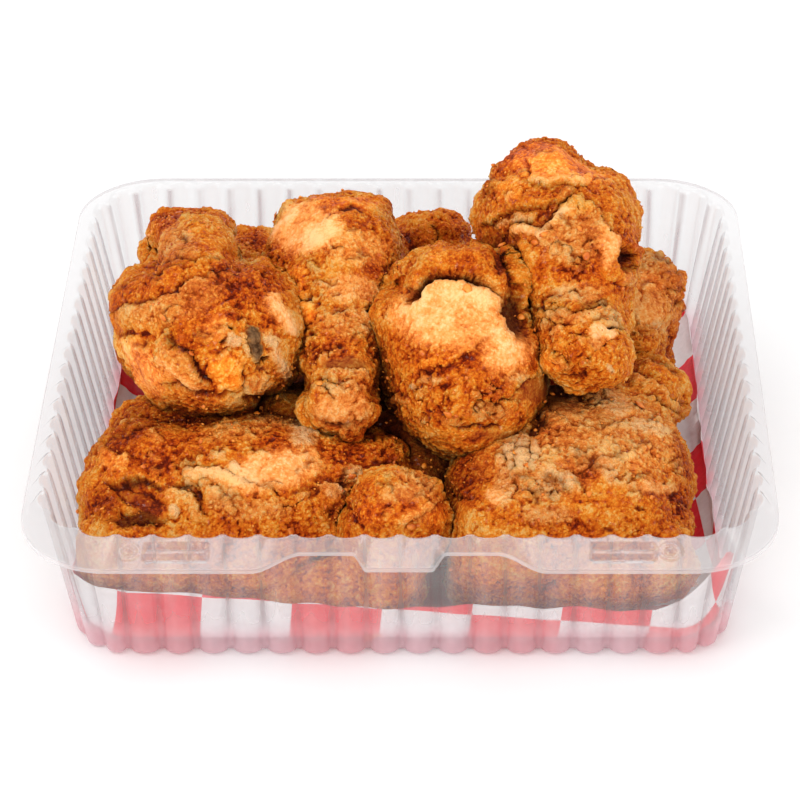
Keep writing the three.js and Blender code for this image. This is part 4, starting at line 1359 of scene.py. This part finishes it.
def back_wing_marks():
    return [
        spot(6, 31, 3.5, 3.5, lift=2.0, crumb=0.9, brown=0.4),
        spot(15, 35, 6, 4, lift=2.2, crumb=0.9, brown=0.5),
        stroke([(9, 35), (11, 31), (10, 27)], 0.9, -1.8, dark=0.8),
        spot(1, 30, 4, 4, brown=0.8, dark=0.2),
    ]


def left_breast_marks():
    return [
        spot(-93, -33, 15, 6, turn=28, brown=0.85, dark=0.25),
        flap([(-97, -36), (-90, -30.5), (-83, -27)], 3, 1.0, brown=0.6),
        flap([(-100, -38), (-93, -34), (-86, -31), (-78, -29.6)], 3, 1.0, brown=0.6),
        spot(-74, -29, 8, 2.4, brown=0.9, crumb=0.8),
        spot(-86, -40, 16, 5, brown=0.05, crumb=0.3),
        spot(-94, -43, 4.5, 3.4, lift=1.4, smooth=0.3, pale=0.15),
        spot(-99, -41.5, 3, 3, lift=0.6, crumb=0.8),
        spot(-104, -44.5, 3, 1.6, turn=-25, brown=0.4),
        flap([(-100, -49.5), (-96, -49.6), (-91, -48), (-86, -48.8), (-80, -50.6), (-76.5, -51)], 6, 2.4,
             under=1.0, brown=0.2),
        spot(-87, -54.5, 10, 3.6, turn=-24, lift=-3.2, edge=0.3, dark=0.6, brown=1.0, smooth=0.7),
        stroke([(-96, -50), (-90, -52.5), (-84, -55), (-78, -58)], 1.3, 1.6, brown=0.9, smooth=0.8),
        spot(-97, -57, 5, 7, brown=0.85, crumb=0.6, dark=0.2),
        spot(-88, -61.5, 9, 3.0, lift=-2.5, dark=0.9),
        spot(-80, -59.4, 5, 2.2, turn=6, lift=2.0, smooth=0.3),
        spot(-75.4, -58.6, 1.4, 2.2, lift=0.8, pale=0.9),
        flap([(-66, -62), (-67, -58), (-70, -54), (-74, -52), (-79, -50.6)], 5, 2.2, under=0.9, pale=0.35),
        flap([(-54, -48.6), (-60, -47), (-65, -45.4), (-71, -45.2), (-74, -46.4)], 4.5, 1.5,
             under=0.55, pale=0.8, smooth=0.4),
        spot(-78, -45, 5, 3.4, turn=-30, brown=0.55),
        stroke([(-75, -50.4), (-68, -52), (-66, -56)], 0.8, -1.4, dark=0.6, brown=0.8),
        flap([(-55, -60), (-57, -56), (-61, -51.5), (-65, -50)], 4, 1.3, under=0.5, pale=0.5),
        spot(-59, -55, 5, 4, pale=0.4),
        spot(-44, -46, 16, 6, turn=12, pale=0.75, smooth=0.55),
        spot(-34, -44, 7, 5, turn=20, lift=0.5, pale=0.45, smooth=0.5),
        flap([(-41, -56.6), (-44, -52.5), (-50, -50.4), (-54, -51)], 4, 1.2, under=0.45),
        spot(-49, -52, 1.6, 2.6, turn=30, lift=-0.9, brown=0.8),
        stroke([(-41, -57), (-37, -56.8), (-33, -55)], 0.7, -1.1, brown=0.9, dark=0.3),
        spot(-30, -53, 2.6, 2, turn=-20, lift=-0.8, brown=0.8, dark=0.3),
        spot(-33.6, -34, 4.4, 4.4, turn=-35, lift=0.8, pale=1.0, crumb=0.4),
        spot(-29, -37, 4, 1.6, turn=-40, brown=0.55, lift=-0.8),
        spot(-43, -29, 8, 2.6, pale=0.35, crumb=0.9),
        spot(-56, -33, 12, 3, turn=4, crumb=0.8, pale=0.2),
        spot(-62, -36, 8, 5, crumb=0.6),
        spot(-42.6, -37, 2, 2.6, brown=0.7, crumb=0.6),
        spot(-55, -44.6, 2.2, 1.1, turn=-10, lift=1.1, pale=1.0),
        spot(-50, -58, 12, 3.4, pale=0.3),
        spot(-66, -61, 4, 2, brown=0.15, crumb=0.8),
        flap([(-19, -54), (-22, -49.6), (-27, -49), (-31, -51)], 4, 1.2, under=0.4, pale=0.7),
        spot(-22.5, -51.6, 3.4, 2.6, pale=0.9, lift=0.6),
        spot(-22, -59.6, 4, 4, turn=20, brown=0.8, bone=0.3, crumb=1.0, lift=-0.8),
        spot(-16.4, -47.4, 4.4, 2.6, turn=-12, lift=1.4, pale=0.8, crumb=1.0),
        stroke([(-20, -45), (-20.6, -48), (-19, -52)], 0.7, -1.4, dark=0.8),
        spot(-6, -40, 7, 4.4, turn=-8, lift=1.2, crumb=0.8),
        spot(-8, -44.3, 4, 1.2, brown=1.0, dark=0.35),
        spot(-22, -41, 5, 3, brown=0.75, crumb=0.6),
        spot(-23, -36, 3, 3, turn=-60, crumb=0.8),
        *shards(9, -52, -47, 26, 10, 22),
        *shards(10, -88, -40, 14, 8, 8, 0.2),
    ]


def front_wing_marks():
    return [
        spot(2, -52.5, 9, 3.4, turn=14, pale=0.35, bone=0.18, smooth=0.4),
        spot(4, -48, 9, 2.2, turn=-6, crumb=1.0, brown=0.3, pale=0.3),
        spot(-4, -59, 12, 4, turn=6, brown=0.45, smooth=0.3),
        flap([(-2, -63), (4, -60), (9, -57.6), (13, -55)], 4, 1.0, under=0.3, pale=0.3),
        spot(3, -61, 6, 2.4, turn=20, pale=0.3),
        spot(-16, -57, 4, 6, crumb=1.0),
        stroke([(-19, -56), (-17, -61), (-13, -65)], 0.9, -1.0, brown=0.8),
        spot(10, -60, 3, 4, smooth=0.5),
        *shards(11, -1, -56, 13, 7, 8, 0.25),
    ]


def right_breast_marks():
    return [
        spot(66, -33, 24, 14, turn=-12, pale=0.35),
        spot(38.5, -40, 7, 6.5, pale=0.8, lift=-0.4),
        spot(45, -44, 15, 12, crumb=0.4, pale=0.35),
        stroke([(33, -36), (35, -41), (34, -47)], 0.7, 0.9, pale=1.0),
        stroke([(37.5, -34.5), (39, -40), (37.5, -46)], 0.7, 1.0, pale=1.0),
        stroke([(42, -35), (43.5, -40), (42, -45)], 0.7, 1.0, pale=1.0),
        stroke([(35.8, -36), (37, -41), (36, -46)], 0.45, -0.9, brown=0.8),
        stroke([(40.6, -35), (41.6, -40), (40.6, -45)], 0.45, -0.9, brown=0.8),
        spot(33, -50, 4, 7, pale=0.7),
        spot(30, -54, 3.4, 2.4, pale=0.8, smooth=0.4),
        stroke([(36, -46.5), (36.6, -51), (35.6, -55.6)], 0.9, -0.8, brown=0.8),
        flap([(40.6, -50), (43, -54), (46, -56.4)], 4, 1.1, pale=0.6),
        flap([(44, -46), (48.6, -47.6), (52.4, -49.4), (56, -53.6)], 4.5, 1.5, pale=0.9),
        spot(48, -50, 6, 4.6, turn=-20, pale=0.75),
        spot(53, -49, 2.8, 3, turn=-50, lift=1.0, pale=1.0),
        stroke([(51.4, -46), (52.6, -50), (51, -54)], 0.6, -1.0, brown=0.8),
        spot(47, -60, 8, 3, pale=0.5),
        spot(58.4, -44.4, 6.6, 3.8, turn=-14, lift=-0.9, edge=0.4, brown=1.0),
        spot(62, -43, 2.2, 3, lift=-0.5, dark=0.35, brown=1.0),
        spot(55.6, -43.4, 2.4, 2.0, lift=0.6),
        spot(66, -45, 2.6, 6, turn=30, pale=0.75),
        spot(49, -31, 7, 3.6, turn=-8, brown=0.8, crumb=0.7),
        spot(51, -24.5, 6, 4, turn=-20, bone=0.35, brown=0.6, smooth=0.5),
        stroke([(46, -22), (50, -27.6), (56, -29.6), (62, -28)], 1.0, -0.9, brown=0.8),
        spot(42.6, -30, 4.6, 3.4, turn=30, lift=-2.6, dark=0.9),
        spot(62.5, -19, 7.6, 3.6, turn=4, lift=2.0, edge=0.5, brown=1.0, dark=0.4, crumb=1.0),
        stroke([(58, -23.4), (63, -24), (67.6, -22)], 0.8, -0.9, dark=0.4, brown=0.6),
        spot(69, -24, 7, 4, turn=-10, pale=0.65, smooth=0.3),
        flap([(95, -27), (90, -24.4), (84, -20), (78, -16), (72, -12.4)], 4, 1.7, under=0.7, pale=0.25),
        flap([(94, -20), (89, -16.4), (83, -12), (78, -8.6)], 4, 1.5, under=0.7, brown=0.1),
        flap([(94, -31.5), (88, -27.4), (83, -24), (77, -21)], 3.5, 1.3, under=0.6),
        spot(89, -12, 7, 5, turn=-40, brown=0.6, crumb=0.5),
        spot(74, -13, 5, 3, turn=-20, bone=0.2, smooth=0.6, brown=0.2),
        spot(80, -32, 7, 2.6, turn=-6, pale=0.8, lift=0.6),
        spot(70, -31, 5, 3, pale=0.5),
        spot(77, -41, 6, 5, smooth=0.2),
        spot(82, -51.4, 6.6, 2.4, turn=6, pale=0.7, smooth=0.3),
        spot(91, -38, 3, 12, turn=8, brown=0.55, bone=0.12),
        spot(91, -57, 4, 6, turn=20, brown=0.7, crumb=0.7),
        spot(79.6, -54, 2.2, 1.2, brown=1.0, dark=0.2),
        spot(77.4, -58.4, 1.7, 1.2, lift=-0.6, dark=0.6, brown=1.0),
        spot(54, -63, 3, 1.2, brown=0.9),
        spot(66.8, -65, 1.6, 1.0, dark=0.6, brown=1.0),
        spot(72, -58, 5, 3, turn=40, brown=0.4),
        spot(17, -47, 9, 7, brown=0.75, crumb=0.6, dark=0.25),
        spot(27, -43, 3.4, 6, turn=-20, brown=0.1, pale=0.1),
        stroke([(14, -52), (19, -54.6), (24, -53.8)], 0.8, -1.0, dark=0.6),
        spot(27, -58, 7, 2.4, turn=-12, brown=0.6),
        spot(33, -62, 9, 2.2, brown=0.6),
        *shards(12, 46, -44, 15, 12, 22, 0.45),
        *shards(13, 76, -40, 15, 14, 22),
    ]


# ---------------------------------------------------------------- loose crumbs
CLUMP_WAVES = np.array([310, 270, 290])

# Name, smallest and largest radius in millimetres, height and sunk share of that radius, seed.
CRUMB_KINDS = (
    ("fine_crumbs", (0.20, 0.42), 0.9, 0.35, 5),
    ("coarse_crumbs", (0.42, 0.85), 0.8, 0.45, 6),
    ("flakes", (0.9, 1.7), 0.30, 0.12, 7),
)


def round_corners():
    """The 18 corners of a crumb before it is made rough, spread over a ball."""
    steps = (-1, 0, 1)
    corners = np.array([(x, y, z) for x in steps for y in steps for z in steps
                        if abs(x) + abs(y) + abs(z) in (1, 2)], float)
    return corners / np.linalg.norm(corners, axis=1)[:, None]


def crumb_shape(random, size, flat):
    """A rough little lump, pressed flat for a flake."""
    corners = round_corners()
    corners *= 1 + random.uniform(-0.32, 0.32, (len(corners), 1))
    return corners * size * np.array([random.uniform(0.8, 1.4), random.uniform(0.7, 1.1), flat])


def hull_faces():
    """The faces that close the corners of a crumb, found once on the round shape."""
    corners = round_corners()
    ball = bmesh.new()
    made = [ball.verts.new(corner) for corner in corners]
    bmesh.ops.convex_hull(ball, input=made)
    bmesh.ops.triangulate(ball, faces=ball.faces[:])
    ball.verts.index_update()
    faces = [tuple(corner.index for corner in face.verts) for face in ball.faces]
    ball.free()
    return faces


def landing_places(pieces, count, random):
    """Points on the crust with their normals, most of them where it is crumbly and looks up."""
    spots, normals, weights = [], [], []
    for piece in pieces:
        points, around = read_points(piece.data), read_normals(piece.data)
        waves = np.sin(points * CLUMP_WAVES + np.array([0, 1, 0]))
        clumps = 0.5 + 0.5 * np.prod(waves, axis=1)
        weight = 0.25 + 1.6 * read_mask(piece.data, "crumb") + 0.6 * clumps ** 2
        weight *= 1.02 - read_mask(piece.data, "smooth")
        weight *= smoothstep(-0.9, 0.2, around[:, 2])
        spots.append(points)
        normals.append(around)
        weights.append(weight)
    weights = np.concatenate(weights)
    chosen = random.choice(len(weights), size=count, replace=False, p=weights / weights.sum())
    return np.concatenate(spots)[chosen], np.concatenate(normals)[chosen]


def scatter(name, pieces, count, sizes, flat, sink, seed):
    """One mesh of many crumbs of a kind, seated on the crust."""
    random = np.random.default_rng(seed)
    faces = hull_faces()
    places, normals = landing_places(pieces, count, random)
    vertices, all_faces = [], []
    for place, normal in zip(places, normals):
        size = random.uniform(*sizes) * MM
        side = np.cross(normal, random.normal(size=3))
        side /= np.linalg.norm(side)
        shape = crumb_shape(random, size, flat)
        lean = normal + side * random.uniform(-0.5, 0.5)
        lean /= np.linalg.norm(lean)
        across = np.cross(lean, side)
        start = len(vertices)
        centre = place + normal * size * (flat - sink)
        vertices.extend(centre + shape[:, :1] * side + shape[:, 1:2] * across + shape[:, 2:] * lean)
        all_faces.extend(tuple(start + corner for corner in face) for face in faces)
    crumbs = new_object(name, vertices, all_faces)
    shade_smooth(crumbs)
    return crumbs


def crumb_material():
    """Crisp crumbs, each patch in its own shade."""
    material, graph, out = new_material("Loose crumbs")
    place = graph.place_mm()
    tone = graph.total(graph.noise(place, 3.0, 2.0), graph.product(graph.noise(place, 20.0), 0.5))
    colour = graph.colours(tone, [
        (0.45, (0.36, 0.045, 0.002)),
        (0.65, (0.58, 0.120, 0.006)),
        (0.82, (0.74, 0.215, 0.016)),
        (0.97, (0.84, 0.320, 0.045)),
    ])
    grit = graph.noise(place, 0.5, 2.0)
    bump = graph.node("ShaderNodeBump", Strength=0.6, Distance=0.0004, Height=grit).outputs[0]
    bsdf = graph.node("ShaderNodeBsdfPrincipled", Base_Color=colour, Roughness=0.5, Normal=bump,
                      Specular_IOR_Level=0.2, Coat_Weight=0.35, Coat_Roughness=0.2)
    graph.tree.links.new(bsdf.outputs[0], out.inputs["Surface"])
    return material


class OBJECT_OT_chicken_crumbs(bpy.types.Operator):
    """Scatters fine crumbs, coarse crumbs and flakes over the crust"""
    bl_idname = "object.chicken_crumbs"
    bl_label = "Loose crumbs"

    def execute(self, context):
        settings = context.scene.chicken_crust
        pieces = [piece for piece in bpy.data.objects if piece.name.endswith("_fried")]
        surface = crumb_material()
        share = 1.0
        for name, sizes, flat, sink, seed in CRUMB_KINDS:
            count = int(getattr(settings, name) * share)
            crumbs = scatter(name, pieces, count, sizes, flat, sink, seed)
            finish_piece(crumbs, surface, "fried_crust")
        return {"FINISHED"}


class OBJECT_OT_chicken_drumsticks(bpy.types.Operator):
    """Fries the three drumsticks"""
    bl_idname = "object.chicken_drumsticks"
    bl_label = "Drumsticks"

    def execute(self, context):
        fry("drumstick_left", 1, left_drumstick_marks())
        fry("drumstick_middle", 2, middle_drumstick_marks())
        fry("drumstick_right", 3, right_drumstick_marks())
        return {"FINISHED"}


class OBJECT_OT_chicken_thighs(bpy.types.Operator):
    """Fries the four thighs"""
    bl_idname = "object.chicken_thighs"
    bl_label = "Thighs"

    def execute(self, context):
        fry("thigh_middle", 11, middle_thigh_marks())
        fry("thigh_back_right", 12, back_thigh_marks(), [(82, 40, 55, 10, 14, 9)])
        fry("thigh_back_left", 13, back_left_thigh_marks())
        # The thigh on the floor lies deep in the heap; shade is painted over its whole front.
        fry("thigh_floor", 14, [spot(0, -25, 60, 40, dark=0.8, brown=0.8)], [(-29, -8, 28, 12, 24, 15)])
        return {"FINISHED"}


class OBJECT_OT_chicken_breasts(bpy.types.Operator):
    """Fries the two breasts"""
    bl_idname = "object.chicken_breasts"
    bl_label = "Breasts"

    def execute(self, context):
        fry("breast_front_left", 21, left_breast_marks(), [
            (-76, -76, 20, 20, 15, 15), (-50, -78, 18, 22, 14, 14), (-84, -60, 22, 14, 20, 16),
            (-34, -27, 39, 18, 13, 14), (-69, -31, 39, 26, 14, 13), (-88, -80, 28, 12, 12, 15),
        ])
        fry("breast_front_right", 22, right_breast_marks(), [
            (34, -76, 19, 20, 14, 16), (60, -76, 19, 24, 15, 16), (76, -66, 22, 15, 22, 17),
            (48, -70, 18, 26, 18, 15), (80, -78, 23, 12, 12, 13), (28, -72, 24, 12, 14, 16),
        ])
        return {"FINISHED"}


class OBJECT_OT_chicken_wings(bpy.types.Operator):
    """Fries the two wings"""
    bl_idname = "object.chicken_wings"
    bl_label = "Wings"

    def execute(self, context):
        fry("wing_front", 31, front_wing_marks())
        fry("wing_back", 32, back_wing_marks())
        return {"FINISHED"}


# ---------------------------------------------------------------- panel and registration
SETTINGS = (
    ("chicken_tray", TraySettings),
    ("chicken_liner", LinerSettings),
    ("chicken_crust", CrustSettings),
    ("chicken_stage", StageSettings),
)

OPERATORS = (
    OBJECT_OT_chicken_stage,
    OBJECT_OT_chicken_tray,
    OBJECT_OT_chicken_liner,
    OBJECT_OT_chicken_drumsticks,
    OBJECT_OT_chicken_thighs,
    OBJECT_OT_chicken_breasts,
    OBJECT_OT_chicken_wings,
    OBJECT_OT_chicken_crumbs,
)


class VIEW3D_PT_chicken(bpy.types.Panel):
    """Lists the pieces of the tray of chicken"""
    bl_label = "Fried Chicken Tray"
    bl_idname = "VIEW3D_PT_chicken"
    bl_space_type = "VIEW_3D"
    bl_region_type = "UI"
    bl_category = "Chicken"

    def draw(self, context):
        column = self.layout.column()
        for operator in OPERATORS:
            column.operator(operator.bl_idname)


CLASSES = (*[kind for _, kind in SETTINGS], *OPERATORS, VIEW3D_PT_chicken)


def register():
    for kind in CLASSES:
        bpy.utils.register_class(kind)
    for name, kind in SETTINGS:
        setattr(bpy.types.Scene, name, PointerProperty(type=kind))


def unregister():
    for name, _ in SETTINGS:
        delattr(bpy.types.Scene, name)
    for kind in reversed(CLASSES):
        bpy.utils.unregister_class(kind)


def main():
    register()
    for operator in OPERATORS:
        getattr(bpy.ops.object, operator.bl_idname.split(".")[1])()


if __name__ == "__main__":
    main()
